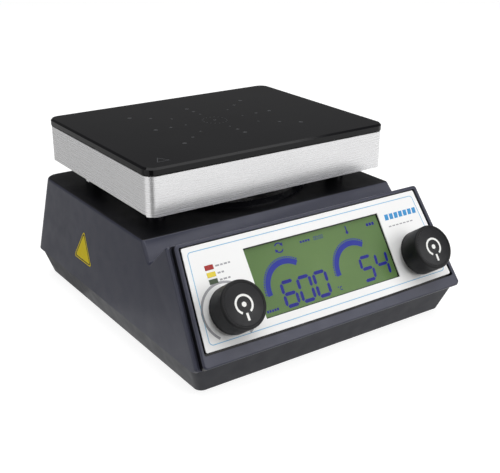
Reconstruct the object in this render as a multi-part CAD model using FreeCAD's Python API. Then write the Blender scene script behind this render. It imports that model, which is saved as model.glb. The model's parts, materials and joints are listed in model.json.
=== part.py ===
"""Hotplate magnetic stirrer with a glass top plate, built as an assembly of separate pieces.

Units are millimetres. +Z is up, the front with the control panel faces -Y, and the origin is the centre of
the footprint at the level of the feet. Every piece is built about the stirring axis (x = 0, y = 0) and moved
by AXIS_Y when it is written out.
"""
import FreeCAD
import Part
import math
import os

V = FreeCAD.Vector
X_AXIS, Y_AXIS, Z_AXIS = V(1, 0, 0), V(0, 1, 0), V(0, 0, 1)

# ---- driving dimensions: top plate ---------------------------------------------------------------------
PLATE_WIDTH = 183.6
PLATE_DEPTH = 144.0
PLATE_TOP = 119.4
GLASS_THICKNESS = 4.8
PLATE_CORNER = 7.5
SKIRT_INSET = 0.4                     # the steel skirt stands this far inside the glass edge
SKIRT_WALL = 1.2
SKIRT_BOTTOM = 89.0
SKIRT_RELIEF = 1.0                    # the skirt's two short sides are this much shallower than its front
SKIRT_TAB = 5.0                       # length of full depth left on each short side, beside the front
LUG_Y = (10.0, 14.0)                  # small locating lug on each short side
GASKET_THICKNESS = 0.5
SKIRT_FLANGE = 9.0
HEATER_SIZE = (158.0, 118.0, 1.6)
TRACK_THICKNESS = 0.3
INSULATION_THICKNESS = 6.5
PAN_THICKNESS = 0.8
POST_X = 72.0
POST_Y = 43.0
POST_RADIUS = 6.5
LEAD_X, LEAD_Y = -46.0, 22.0          # where the heater leads rise through the deck
LEAD_RADIUS = 5.0                     # the opening round them

# ---- driving dimensions: housing -----------------------------------------------------------------------
WALL = 3.0
FOOT_HEIGHT = 3.0
SPLIT_Z = 21.8                        # the shell meets the base tray here
DECK_Z = 77.2
HALF_WIDTH_LOW = 103.4                # half width of the shell at SPLIT_Z
HALF_WIDTH_DECK = 97.1                # half width of the shell at DECK_Z
REAR_LOW = (85.0, SPLIT_Z)
REAR_TOP = (74.5, DECK_Z)
DECK_FRONT = (-71.6, DECK_Z)
VALLEY = (-81.6, 65.5)
RIDGE = (-99.3, 82.7)
LIP = (-141.0, 23.8)
LIP_UNDER = (-138.4, SPLIT_Z)
REAR_CORNER = 10.0
EDGE_ROUND = 2.2
TRAY_TOP_HALF = 102.2
TRAY_BOTTOM_HALF = 95.6
TRAY_TOP_Y = (-137.2, 83.6)
TRAY_BOTTOM_Y = (-130.4, 80.0)
TRAY_FLOOR = 2.6
FOOT_STEM = 3.0
SHIELD_RADIUS = 63.0
SHIELD_TOP = 80.8

# ---- driving dimensions: control panel, in its own plane -----------------------------------------------
PANEL_LENGTH = math.dist(RIDGE, LIP)
PANEL_TILT = math.degrees(math.atan2(RIDGE[1] - LIP[1], RIDGE[0] - LIP[0]))
CHEEK = 1.5                           # width of the shell's edge beside the bezel
GROOVE = 2.2                          # dark groove between that edge and the bezel
BEZEL_CORNER = 2.6
SHELL_FRONT = -1.8                    # the shell's front wall lies this far behind the cheeks
BEZEL_TOP = 2.9                       # height of the bezel's rim above the cheeks
OVERLAY_TOP = 2.6
OVERLAY_THICKNESS = 0.8
OVERLAY_MARGIN = 2.3                  # rim of the bezel beside the overlay
OVERLAY_GAP = 1.5                     # trench round the overlay
TRENCH_FLOOR = -0.6
OVERLAY_S = (4.0, 64.0)               # the overlay's top and bottom corners, measured down the slope
OVERLAY_BOW = 0.9                     # how much lower the bottom edge runs at mid width
LCD_SIZE = (104.6, 43.2)
LCD_X = 1.6                           # its centre right of the middle
LCD_S = 34.4                          # its centre down the slope
LED_X = -76.0
LED_S = (18.3, 22.6, 26.7)
LED_SIZE = (5.6, 2.8)
KNOB_X = 72.6
KNOB_S = 45.4
KNOB_RADIUS = 14.4
KNOB_BASE = 5.4
KNOB_TOP = 21.0
KNOB_EDGE = 1.1
KNOB_TRAVEL = 0.6
BOARD_H = -12.0                       # top face of the control board
BOARD_THICKNESS = 1.6
ENCODER_HOLE = 3.6
SHAFT_RADIUS = 3.0
SHAFT_GAP = 0.05

# ---- driving dimensions: drive -------------------------------------------------------------------------
SHAFT_Z = (26.0, 98.5)
DRIVE_SHAFT_RADIUS = 4.0
MOTOR_PLATE_Z = 32.0
STATOR_Z = (40.0, 54.0)
STATOR_RADIUS = 21.0
BELL_RADIUS = 29.0
BELL_Z = (38.0, 62.0)
BEARING_OUTER = 8.0
BEARING_WIDTH = 5.0
COIL_COUNT = 9
CARRIER_LENGTH = 92.0
CARRIER_Z = (88.0, 93.0)
MAGNET_RADIUS = 10.0
MAGNET_HEIGHT = 8.0
MAGNET_X = 32.0

# ---- driving dimensions: rear --------------------------------------------------------------------------
REAR_PANEL_Y = 72.0                   # inner face of the rear panel
REAR_PANEL_THICKNESS = 1.6
REAR_PANEL_SIZE = (140.0, 34.0)
REAR_PANEL_Z = 44.0
INLET_X = -45.0
SWITCH_X = -12.0
PROBE_X = 30.0
ROD_X = 81.2
ROD_Z = 58.0
ROD_RADIUS = 5.0
ROD_OUTER = 8.0
ROD_FLANGE_Y = 64.4
ROD_END = 76.8
ROCKER_TILT = 10.0                    # the rocker rests tilted this far and swings twice as far

# The knob's front rim is the foremost point and the shell's lower rear edge the rearmost.
SLOPE = V(0, LIP[0] - RIDGE[0], LIP[1] - RIDGE[1]).normalize()
NORMAL = V(0, SLOPE.z, -SLOPE.y)
FOREMOST_Y = (RIDGE[0] + SLOPE.y * (KNOB_S + KNOB_RADIUS - KNOB_EDGE)
              + NORMAL.y * (KNOB_TOP - KNOB_EDGE) - KNOB_EDGE)
AXIS_Y = -(FOREMOST_Y + REAR_LOW[0]) / 2

PANEL = FreeCAD.Placement(V(0, RIDGE[0], RIDGE[1]), FreeCAD.Rotation(X_AXIS, PANEL_TILT))


# ---- general helpers -----------------------------------------------------------------------------------
def box(x0, x1, y0, y1, z0, z1):
    return Part.makeBox(x1 - x0, y1 - y0, z1 - z0, V(x0, y0, z0))


def cylinder(radius, z0, z1, x=0.0, y=0.0):
    return Part.makeCylinder(radius, z1 - z0, V(x, y, z0))


def cylinder_y(radius, y0, y1, x, z):
    return Part.makeCylinder(radius, y1 - y0, V(x, y0, z), Y_AXIS)


def tube(outer, inner, z0, z1, x=0.0, y=0.0):
    return cylinder(outer, z0, z1, x, y).cut(cylinder(inner, z0 - 1, z1 + 1, x, y))


def rounded_wire(points, radii):
    """Closed wire through 3-D points in one plane, each corner rounded by an arc of its own radius."""
    count = len(points)
    edges = []
    ends = []
    for i, corner in enumerate(points):
        to_last = (points[i - 1] - corner).normalize()
        to_next = (points[(i + 1) % count] - corner).normalize()
        half = to_last.getAngle(to_next) / 2
        radius = radii[i]
        reach = radius / math.tan(half) if radius else 0.0
        start = corner + to_last * reach
        finish = corner + to_next * reach
        if radius:
            middle_line = (to_last + to_next).normalize()
            middle = corner + middle_line * (radius / math.sin(half) - radius)
            edges.append(Part.Arc(start, middle, finish).toShape())
        ends.append((start, finish))
    for i in range(count):
        edges.append(Part.makeLine(ends[i][1], ends[(i + 1) % count][0]))
    return Part.Wire(Part.__sortEdges__(edges))


def rounded_block(width, depth, z0, z1, radius, x=0.0, y=0.0):
    signs = ((-1, -1), (1, -1), (1, 1), (-1, 1))
    points = [V(x + sx * width / 2, y + sy * depth / 2, z0) for sx, sy in signs]
    return Part.Face(rounded_wire(points, [radius] * 4)).extrude(V(0, 0, z1 - z0))


def prism_x(points, radii, half):
    """Side profile of (y, z) points, extruded from x = -half to x = half."""
    corners = [V(-half, y, z) for y, z in points]
    return Part.Face(rounded_wire(corners, radii)).extrude(V(2 * half, 0, 0))


def inset(points, distances):
    """The (y, z) polygon with side i, from point i to point i + 1, moved inwards by its own distance."""
    area = sum(a[0] * b[1] - b[0] * a[1] for a, b in zip(points, points[1:] + points[:1]))
    turn = 1 if area > 0 else -1
    lines = []
    for i, (a, d) in enumerate(zip(points, distances)):
        b = points[(i + 1) % len(points)]
        length = math.dist(a, b)
        direction = ((b[0] - a[0]) / length, (b[1] - a[1]) / length)
        inward = (-direction[1] * turn, direction[0] * turn)
        lines.append(((a[0] + inward[0] * d, a[1] + inward[1] * d), direction))
    result = []
    for i, ((px, py), (dx, dy)) in enumerate(lines):
        (qx, qy), (ex, ey) = lines[i - 1]
        t = ((qx - px) * ey - (qy - py) * ex) / (dx * ey - dy * ex)
        result.append((px + dx * t, py + dy * t))
    return result


def half_width(z):
    """Half width of the shell's outside at height z."""
    return HALF_WIDTH_LOW + (HALF_WIDTH_DECK - HALF_WIDTH_LOW) * (z - SPLIT_Z) / (DECK_Z - SPLIT_Z)


def wedge(inward, y0=-200.0, y1=200.0, z0=-5.0, z1=130.0):
    """Solid between the two leaning side walls, moved inwards."""
    corners = [V(-half_width(z0) + inward, y0, z0), V(half_width(z0) - inward, y0, z0),
               V(half_width(z1) - inward, y0, z1), V(-half_width(z1) + inward, y0, z1)]
    return Part.Face(Part.makePolygon(corners + corners[:1])).extrude(V(0, y1 - y0, 0))


def edges_where(shape, test):
    """Edges whose middle point passes the test."""
    found = []
    for edge in shape.Edges:
        middle = edge.valueAt((edge.FirstParameter + edge.LastParameter) / 2)
        if test(middle, edge):
            found.append(edge)
    return found


def screw(head_radius, head_height, radius, length, top, down=V(0, 0, -1)):
    """Pan-head screw with a hexagon socket. top is the middle of the head's top face."""
    head = Part.makeCylinder(head_radius, head_height, top, down)
    shank = Part.makeCylinder(radius, length, top + down * head_height, down)
    socket = Part.makeCylinder(head_radius * 0.5, head_height * 0.6, top, down)
    return head.fuse(shank).cut(socket).removeSplitter()


def on_panel(shape):
    """Moves a shape drawn in panel coordinates (x, -s, h) to its place on the sloping front."""
    moved = shape.copy()
    moved.Placement = PANEL.multiply(moved.Placement)
    return moved


def panel_half(s, inward):
    """Half width of the sloping front at s below the ridge, less inward."""
    return half_width(RIDGE[1] + SLOPE.z * s) - inward


def panel_sheet(s0, s1, h0, h1, inward, bow=0.0, corner=0.0):
    """Sheet in panel coordinates between two distances down the slope, following the leaning sides.
    Its bottom edge bows down by bow at mid width."""
    top_left, top_right = V(-panel_half(s0, inward), -s0, h0), V(panel_half(s0, inward), -s0, h0)
    low_left, low_right = V(-panel_half(s1, inward), -s1, h0), V(panel_half(s1, inward), -s1, h0)
    edges = [Part.makeLine(low_right, top_right), Part.makeLine(top_right, top_left),
             Part.makeLine(top_left, low_left)]
    if bow:
        edges.append(Part.Arc(low_left, V(0, -s1 - bow, h0), low_right).toShape())
    else:
        edges.append(Part.makeLine(low_left, low_right))
    sheet = Part.Face(Part.Wire(edges)).extrude(V(0, 0, h1 - h0))
    if corner:
        upright = edges_where(sheet, lambda m, e: abs(m.z - (h0 + h1) / 2) < 1e-6)
        sheet = sheet.makeFillet(corner, upright)
    return sheet


def panel_block(x0, x1, s0, s1, h0, h1):
    return box(x0, x1, -s1, -s0, h0, h1)


# ---- housing -------------------------------------------------------------------------------------------
SHELL_PROFILE = [REAR_LOW, REAR_TOP, DECK_FRONT, VALLEY, RIDGE, LIP, LIP_UNDER]


def rear_panel_block(margin, y0):
    """Block behind the rear panel's outline, grown by margin, from y0 backwards."""
    width, height = REAR_PANEL_SIZE
    return box(-width / 2 - margin, width / 2 + margin, y0, 100,
               REAR_PANEL_Z - height / 2 - margin, REAR_PANEL_Z + height / 2 + margin)


def housing_shell():
    outside = prism_x(SHELL_PROFILE, [0.0] * len(SHELL_PROFILE), 125).common(wedge(0)).removeSplitter()
    corners = edges_where(outside, lambda m, e: m.y > 66 and 30 < m.z < 70 and abs(m.x) > 90)
    outside = outside.makeFillet(REAR_CORNER, corners)
    rim = edges_where(outside, lambda m, e: m.z > SPLIT_Z + 1 and not on_rear_corner(m))
    outside = try_fillet(outside, rim, (EDGE_ROUND, 1.6, 1.2, 1.0, 0.8))
    deep = [0.0] * len(SHELL_PROFILE)
    for i in range(5):
        deep[i] = WALL
    deep[4] = WALL - SHELL_FRONT
    hollow_points = inset(SHELL_PROFILE, deep)
    hollow_points[0] = (hollow_points[0][0] + 1.0, SPLIT_Z - 4)
    hollow_points[-2] = (LIP[0] + 8.6, LIP[1] - 1.6)
    hollow_points[-1] = (LIP[0] + 8.6, SPLIT_Z - 4)
    hollow = prism_x(hollow_points, [0.0] * len(hollow_points), 125).common(wedge(WALL))
    shell = outside.cut(hollow)
    pocket = on_panel(panel_sheet(0.9, PANEL_LENGTH + 12, SHELL_FRONT, 12, CHEEK, 0.0, BEZEL_CORNER))
    window = on_panel(panel_block(-84, 84, 6, 62, -12, 2))
    shell = shell.cut(pocket).cut(window)
    shell = shell.fuse(rear_panel_block(2.8, REAR_PANEL_Y - 2.5).common(outside))
    shell = shell.fuse(cylinder_y(ROD_OUTER + 2.5, ROD_FLANGE_Y, 90, ROD_X, ROD_Z).common(outside))
    shell = shell.cut(rear_panel_block(-2.0, 40)).cut(rear_panel_block(0.3, REAR_PANEL_Y))
    for x, z in rear_screw_places():
        shell = shell.fuse(cylinder_y(3.4, REAR_PANEL_Y - 6, REAR_PANEL_Y, x, z))
        shell = shell.cut(cylinder_y(1.5, REAR_PANEL_Y - 6.5, REAR_PANEL_Y + 1, x, z))
    shell = shell.cut(cylinder(16.0, DECK_Z - 10, DECK_Z + 10))
    for x, y in post_places():
        shell = shell.cut(cylinder(2.2, DECK_Z - 10, DECK_Z + 10, x, y))
    shell = shell.cut(cylinder(LEAD_RADIUS, DECK_Z - 10, DECK_Z + 10, LEAD_X, LEAD_Y))
    for x, y in leg_places():
        shell = shell.cut(cylinder(1.7, DECK_Z - 10, DECK_Z + 10, x, y))
    shell = shell.cut(cylinder_y(ROD_OUTER, 40, 90, ROD_X, ROD_Z))
    for x, y in case_screw_places():
        boss = cylinder(5.0, SPLIT_Z, SPLIT_Z + 16, x, y).cut(cylinder(1.6, SPLIT_Z - 1, SPLIT_Z + 12, x, y))
        web = box(min(x, math.copysign(100, x)), max(x, math.copysign(100, x)), y - 1.5, y + 1.5,
                  SPLIT_Z, SPLIT_Z + 16).common(wedge(WALL - 0.5)).cut(cylinder(4.5, 0, 90, x, y))
        shell = shell.fuse(boss).fuse(web)
    return shell.removeSplitter()


def on_rear_corner(middle):
    """True on the seams of the rounded rear corners."""
    return middle.y > DECK_FRONT[0] and middle.z < DECK_Z - 1 and middle.y > REAR_TOP[0] - 12


def try_fillet(shape, edges, radii):
    """Rounds the edges with the first radius that gives a valid solid."""
    for radius in radii:
        try:
            rounded = shape.makeFillet(radius, edges)
        except Part.OCCError:
            continue
        if rounded.isValid() and len(rounded.Solids) == 1:
            return rounded
    print("no fillet held on", len(edges), "edges")
    return shape


def post_places():
    return [(sx * POST_X, sy * POST_Y) for sx in (-1, 1) for sy in (-1, 1)]


def case_screw_places():
    return [(-88.0, -96.0), (88.0, -96.0), (-88.0, 40.0), (88.0, 40.0)]


def tray_block(inward, z0, z1):
    """Tapered block of the base tray's outline, moved inwards."""
    def outline(z):
        share = (z - FOOT_HEIGHT) / (SPLIT_Z - FOOT_HEIGHT)
        half = TRAY_BOTTOM_HALF + (TRAY_TOP_HALF - TRAY_BOTTOM_HALF) * share - inward
        front = TRAY_BOTTOM_Y[0] + (TRAY_TOP_Y[0] - TRAY_BOTTOM_Y[0]) * share + inward
        rear = TRAY_BOTTOM_Y[1] + (TRAY_TOP_Y[1] - TRAY_BOTTOM_Y[1]) * share - inward
        points = [V(-half, front, z), V(half, front, z), V(half, rear, z), V(-half, rear, z)]
        corner = max(REAR_CORNER - inward, 1.0)
        return rounded_wire(points, [corner * 0.5, corner * 0.5, corner, corner])
    return Part.makeLoft([outline(z0), outline(z1)], True, True)


def base_tray():
    outside = tray_block(0.0, FOOT_HEIGHT, SPLIT_Z)
    bottom = edges_where(outside, lambda m, e: abs(m.z - FOOT_HEIGHT) < 1e-6)
    outside = try_fillet(outside, bottom, (1.5, 1.0))
    tray = outside.cut(tray_block(WALL, FOOT_HEIGHT + TRAY_FLOOR, SPLIT_Z + 2))
    for x, y in foot_places():
        tray = tray.cut(cylinder(FOOT_STEM, 0, 20, x, y))
    for x, y in case_screw_places():
        boss = cylinder(5.0, FOOT_HEIGHT + TRAY_FLOOR - 0.5, SPLIT_Z, x, y)
        tray = tray.fuse(boss).cut(cylinder(1.8, 0, 40, x, y)).cut(cylinder(3.6, 0, FOOT_HEIGHT + 3.4, x, y))
    for side in (-1, 1):
        for i in range(9):
            x = side * 50.0
            y = -46.0 + i * 9.0
            tray = tray.cut(rounded_block(46, 3.0, 0, FOOT_HEIGHT + TRAY_FLOOR + 1, 1.4, x, y))
    for x, y in board_stud_places():
        tray = tray.fuse(cylinder(3.2, FOOT_HEIGHT + TRAY_FLOOR - 0.5, POWER_BOARD_Z, x, y))
        tray = tray.cut(cylinder(1.2, FOOT_HEIGHT + TRAY_FLOOR + 1, POWER_BOARD_Z + 1, x, y))
    return tray.removeSplitter()


def foot_places():
    return [(-76.0, -112.0), (76.0, -112.0), (-76.0, 64.0), (76.0, 64.0)]


def rubber_feet():
    feet = []
    for x, y in foot_places():
        foot = Part.makeCone(9.0, 10.0, FOOT_HEIGHT, V(x, y, 0))
        stem = cylinder(FOOT_STEM, FOOT_HEIGHT, FOOT_HEIGHT + TRAY_FLOOR, x, y)
        barb = Part.makeCone(FOOT_STEM + 1.0, FOOT_STEM - 0.8, 3.0, V(x, y, FOOT_HEIGHT + TRAY_FLOOR))
        feet.append(foot.fuse(stem).fuse(barb).removeSplitter())
    return Part.makeCompound(feet)


def case_screws():
    return Part.makeCompound([screw(3.2, 2.2, 1.5, 22.0, V(x, y, FOOT_HEIGHT + 1.0), V(0, 0, 1))
                              for x, y in case_screw_places()])


def deck_shield():
    """Round dished heat shield on the deck, under the plate, with a collar round the drive shaft."""
    profile = [V(15, 0, DECK_Z), V(SHIELD_RADIUS, 0, DECK_Z), V(SHIELD_RADIUS, 0, DECK_Z + 1.0),
               V(SHIELD_RADIUS - 2.6, 0, SHIELD_TOP), V(SHIELD_RADIUS - 8, 0, SHIELD_TOP),
               V(SHIELD_RADIUS - 10, 0, SHIELD_TOP - 1.6), V(20, 0, SHIELD_TOP - 1.6),
               V(18, 0, SHIELD_TOP + 1.4), V(15, 0, SHIELD_TOP + 1.4)]
    shield = Part.Face(Part.makePolygon(profile + profile[:1])).revolve(V(0, 0, 0), Z_AXIS, 360)
    for x, y in leg_places():
        shield = shield.cut(cylinder(4.0, DECK_Z - 1, SHIELD_TOP + 4, x, y))
    return shield.cut(cylinder(LEAD_RADIUS, DECK_Z - 1, SHIELD_TOP + 4, LEAD_X, LEAD_Y))


# ---- top plate -----------------------------------------------------------------------------------------
GLASS_BOTTOM = PLATE_TOP - GLASS_THICKNESS
SKIRT_TOP = GLASS_BOTTOM - GASKET_THICKNESS
HEATER_BOTTOM = GLASS_BOTTOM - HEATER_SIZE[2]
INSULATION_BOTTOM = HEATER_BOTTOM - TRACK_THICKNESS - INSULATION_THICKNESS
PAN_BOTTOM = INSULATION_BOTTOM - PAN_THICKNESS


def glass_plate():
    glass = rounded_block(PLATE_WIDTH, PLATE_DEPTH, GLASS_BOTTOM, PLATE_TOP, PLATE_CORNER)
    top = edges_where(glass, lambda m, e: abs(m.z - PLATE_TOP) < 1e-6)
    glass = glass.makeChamfer(1.2, top)
    low = edges_where(glass, lambda m, e: abs(m.z - GLASS_BOTTOM) < 1e-6)
    return glass.makeChamfer(0.5, low)


def skirt_block(inward, z0, z1):
    trim = SKIRT_INSET + inward
    return rounded_block(PLATE_WIDTH - 2 * trim, PLATE_DEPTH - 2 * trim, z0, z1, PLATE_CORNER - trim)


def plate_skirt():
    skirt = skirt_block(0, SKIRT_BOTTOM, SKIRT_TOP)
    skirt = skirt.cut(skirt_block(SKIRT_WALL, SKIRT_BOTTOM - 1, SKIRT_TOP - SKIRT_WALL))
    opening = rounded_block(PLATE_WIDTH - 2 * SKIRT_FLANGE, PLATE_DEPTH - 2 * SKIRT_FLANGE,
                            SKIRT_BOTTOM, PLATE_TOP, 4.0)
    skirt = skirt.cut(opening)
    for side in (-1, 1):
        x0, x1 = sorted((side * (PLATE_WIDTH / 2 - 8), side * (PLATE_WIDTH / 2 + 8)))
        for y0, y1 in ((SKIRT_TAB - PLATE_DEPTH / 2, LUG_Y[0]), (LUG_Y[1], PLATE_DEPTH)):
            skirt = skirt.cut(box(x0, x1, y0, y1, SKIRT_BOTTOM - 1, SKIRT_BOTTOM + SKIRT_RELIEF))
    return skirt.removeSplitter()


def glass_gasket():
    return skirt_block(1.2, SKIRT_TOP, GLASS_BOTTOM).cut(
        rounded_block(PLATE_WIDTH - 2 * SKIRT_FLANGE, PLATE_DEPTH - 2 * SKIRT_FLANGE, 80, 130, 4.0))


def heater_plate():
    width, depth, thickness = HEATER_SIZE
    plate = rounded_block(width, depth, HEATER_BOTTOM, GLASS_BOTTOM, 3.0)
    return plate.cut(cylinder(2.2, 80, 130, 0, 0))


def heater_track():
    """Resistance foil folded back and forth under the mica plate, with its two tails at the rear."""
    width, depth, _ = HEATER_SIZE
    z0, z1 = HEATER_BOTTOM - TRACK_THICKNESS, HEATER_BOTTOM
    rows = 11
    pitch = (depth - 20) / (rows - 1)
    reach = width / 2 - 10
    track = None
    for i in range(rows):
        y = -(depth - 20) / 2 + i * pitch
        row = box(-reach, reach, y - 2.4, y + 2.4, z0, z1)
        track = row if track is None else track.fuse(row)
        if i < rows - 1:
            side = 1 if i % 2 else -1
            x0, x1 = sorted((side * reach, side * (reach - 4.8)))
            track = track.fuse(box(x0, x1, y, y + pitch, z0, z1))
    return track.cut(cylinder(6.0, 80, 130)).removeSplitter()


def insulation_pad():
    width, depth, _ = HEATER_SIZE
    pad = rounded_block(width, depth, INSULATION_BOTTOM, HEATER_BOTTOM - TRACK_THICKNESS, 3.0)
    for x, y in post_places():
        pad = pad.cut(cylinder(4.2, 80, 130, x, y))
    return pad.cut(box(-18, 18, -2.6, 2.6, HEATER_BOTTOM - TRACK_THICKNESS - 4.4, 130)).cut(
        cylinder(LEAD_RADIUS - 1, 80, 130, LEAD_X, LEAD_Y))


def insulation_pan():
    """Pressed sheet pan that carries the insulation and stands on the posts."""
    outer = skirt_block(SKIRT_WALL + 0.2, PAN_BOTTOM, PAN_BOTTOM + 7.0)
    inner = skirt_block(SKIRT_WALL + 0.2 + PAN_THICKNESS, PAN_BOTTOM + PAN_THICKNESS, PAN_BOTTOM + 8.0)
    pan = outer.cut(inner)
    for x, y in post_places():
        pan = pan.cut(cylinder(2.1, 80, 130, x, y))
    return pan.cut(cylinder(LEAD_RADIUS - 1, 80, 130, LEAD_X, LEAD_Y))


def plate_probe():
    z = HEATER_BOTTOM - TRACK_THICKNESS - 2.2
    probe = Part.makeCylinder(2.0, 30, V(-15, 0, z), X_AXIS)
    return probe.fuse(Part.makeSphere(2.0, V(15, 0, z)))


def plate_posts():
    return Part.makeCompound([tube(POST_RADIUS, 2.0, DECK_Z, PAN_BOTTOM, x, y) for x, y in post_places()])


def post_screws():
    """Each post is held by a screw up through the deck and a screw down through the pan."""
    pieces = []
    for x, y in post_places():
        pieces.append(screw(3.6, 2.4, 1.9, 11.0, V(x, y, PAN_BOTTOM + PAN_THICKNESS + 2.4)))
        pieces.append(screw(3.6, 2.4, 1.9, 11.0, V(x, y, DECK_Z - WALL - 2.4), V(0, 0, 1)))
    return Part.makeCompound(pieces)


# ---- drive ---------------------------------------------------------------------------------------------
def motor_bracket():
    """Plate across the housing that carries the motor, with four legs up to the deck."""
    plate = rounded_block(78, 78, MOTOR_PLATE_Z, MOTOR_PLATE_Z + 2.5, 6.0)
    plate = plate.cut(cylinder(BEARING_OUTER + 2.5, MOTOR_PLATE_Z - 1, MOTOR_PLATE_Z + 5))
    for x, y in leg_places():
        plate = plate.fuse(cylinder(4.0, MOTOR_PLATE_Z, DECK_Z - WALL, x, y))
        plate = plate.cut(cylinder(1.7, DECK_Z - WALL - 12, DECK_Z, x, y))
    return plate.removeSplitter()


def leg_places():
    return [(sx * 34.0, sy * 34.0) for sx in (-1, 1) for sy in (-1, 1)]


def motor_screws():
    return Part.makeCompound([screw(3.4, 2.2, 1.6, 13.0, V(x, y, DECK_Z + 2.2)) for x, y in leg_places()])


def bearing_tube():
    """Tube that holds both bearings and carries the stator, with a flange on the motor plate."""
    outer = BEARING_OUTER + 2.5
    body = cylinder(outer, MOTOR_PLATE_Z, STATOR_Z[1] + 3.0).fuse(
        cylinder(16.0, MOTOR_PLATE_Z + 2.5, MOTOR_PLATE_Z + 4.5))
    body = body.cut(cylinder(BEARING_OUTER, MOTOR_PLATE_Z - 1, MOTOR_PLATE_Z + BEARING_WIDTH + 1.0))
    body = body.cut(cylinder(BEARING_OUTER - 1.5, MOTOR_PLATE_Z, 100))
    body = body.cut(cylinder(BEARING_OUTER, STATOR_Z[1] + 3.0 - BEARING_WIDTH, 100))
    return body.removeSplitter()


def bearing(z0):
    """Ball bearing: two rings with a ring of balls between."""
    z1 = z0 + BEARING_WIDTH
    inner = tube(DRIVE_SHAFT_RADIUS + 1.3, DRIVE_SHAFT_RADIUS + 0.02, z0, z1)
    outer = tube(BEARING_OUTER, BEARING_OUTER - 1.3, z0, z1)
    middle = (DRIVE_SHAFT_RADIUS + 1.3 + BEARING_OUTER - 1.3) / 2
    size = (BEARING_OUTER - 1.3 - DRIVE_SHAFT_RADIUS - 1.3) / 2
    balls = [Part.makeSphere(size, V(middle * math.cos(a), middle * math.sin(a), (z0 + z1) / 2))
             for a in (i * math.tau / 7 for i in range(7))]
    return Part.makeCompound([inner, outer] + balls)


def shaft_bearings():
    return Part.makeCompound([bearing(MOTOR_PLATE_Z + 1.0), bearing(STATOR_Z[1] + 3.0 - BEARING_WIDTH)])


def motor_stator():
    """Laminated star of nine teeth on the bearing tube."""
    core = tube(13.0, BEARING_OUTER + 2.5, STATOR_Z[0] + 2, STATOR_Z[1] - 2)
    for i in range(COIL_COUNT):
        tooth = box(12.0, STATOR_RADIUS - 1, -1.6, 1.6, STATOR_Z[0] + 2, STATOR_Z[1] - 2)
        tip = tube(STATOR_RADIUS, STATOR_RADIUS - 1.6, STATOR_Z[0] + 2, STATOR_Z[1] - 2).common(
            box(10, 30, -5.2, 5.2, 0, 100))
        arm = tooth.fuse(tip)
        arm.rotate(V(0, 0, 0), Z_AXIS, i * 360.0 / COIL_COUNT)
        core = core.fuse(arm)
    return core.removeSplitter()


def motor_coils():
    """A copper coil round each stator tooth."""
    coils = []
    for i in range(COIL_COUNT):
        coil = box(13.4, STATOR_RADIUS - 2.0, -3.0, 3.0, STATOR_Z[0] + 0.4, STATOR_Z[1] - 0.4)
        coil = coil.cut(box(0, 30, -1.6, 1.6, STATOR_Z[0] + 2, STATOR_Z[1] - 2))
        coil.rotate(V(0, 0, 0), Z_AXIS, i * 360.0 / COIL_COUNT)
        coils.append(coil)
    return Part.makeCompound(coils)


def motor_shaft():
    shaft = cylinder(DRIVE_SHAFT_RADIUS, SHAFT_Z[0], SHAFT_Z[1])
    ends = edges_where(shaft, lambda m, e: abs(m.z - SHAFT_Z[0]) < 1e-6 or abs(m.z - SHAFT_Z[1]) < 1e-6)
    return shaft.makeChamfer(0.5, ends)


def rotor_bell():
    """Outer rotor: a cup pressed on the shaft, open downwards round the stator."""
    bell = tube(BELL_RADIUS, STATOR_RADIUS + 1.0, BELL_Z[0], BELL_Z[1])
    bell = bell.fuse(tube(BELL_RADIUS, DRIVE_SHAFT_RADIUS, BELL_Z[1] - 2.0, BELL_Z[1]))
    bell = bell.fuse(tube(8.0, DRIVE_SHAFT_RADIUS, BELL_Z[1] - 1.0, BELL_Z[1] + 8.0))
    for i in range(6):
        hole = cylinder(4.0, BELL_Z[1] - 5, BELL_Z[1] + 5, 17.0, 0)
        hole.rotate(V(0, 0, 0), Z_AXIS, i * 60)
        bell = bell.cut(hole)
    return bell.removeSplitter()


def magnet_carrier():
    """Bar clamped on the shaft's top, with a pocket for a magnet at each end."""
    width = 2 * MAGNET_RADIUS + 8
    bar = rounded_block(CARRIER_LENGTH, width, CARRIER_Z[0], CARRIER_Z[1], MAGNET_RADIUS + 3.9)
    bar = bar.fuse(cylinder(9.0, CARRIER_Z[0] - 4.0, CARRIER_Z[1] + 3.0))
    bar = bar.cut(cylinder(DRIVE_SHAFT_RADIUS, 60, 120))
    for side in (-1, 1):
        bar = bar.cut(cylinder(MAGNET_RADIUS, CARRIER_Z[0] + 2.0, 120, side * MAGNET_X, 0))
    return bar.removeSplitter()


def drive_magnets():
    z0 = CARRIER_Z[0] + 2.0
    magnets = []
    for side in (-1, 1):
        magnet = cylinder(MAGNET_RADIUS, z0, z0 + MAGNET_HEIGHT, side * MAGNET_X, 0)
        top = edges_where(magnet, lambda m, e: abs(m.z - z0 - MAGNET_HEIGHT) < 1e-6)
        magnets.append(magnet.makeChamfer(0.6, top))
    return Part.makeCompound(magnets)


# ---- control panel -------------------------------------------------------------------------------------
def bezel_inward():
    return CHEEK + GROOVE


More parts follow.
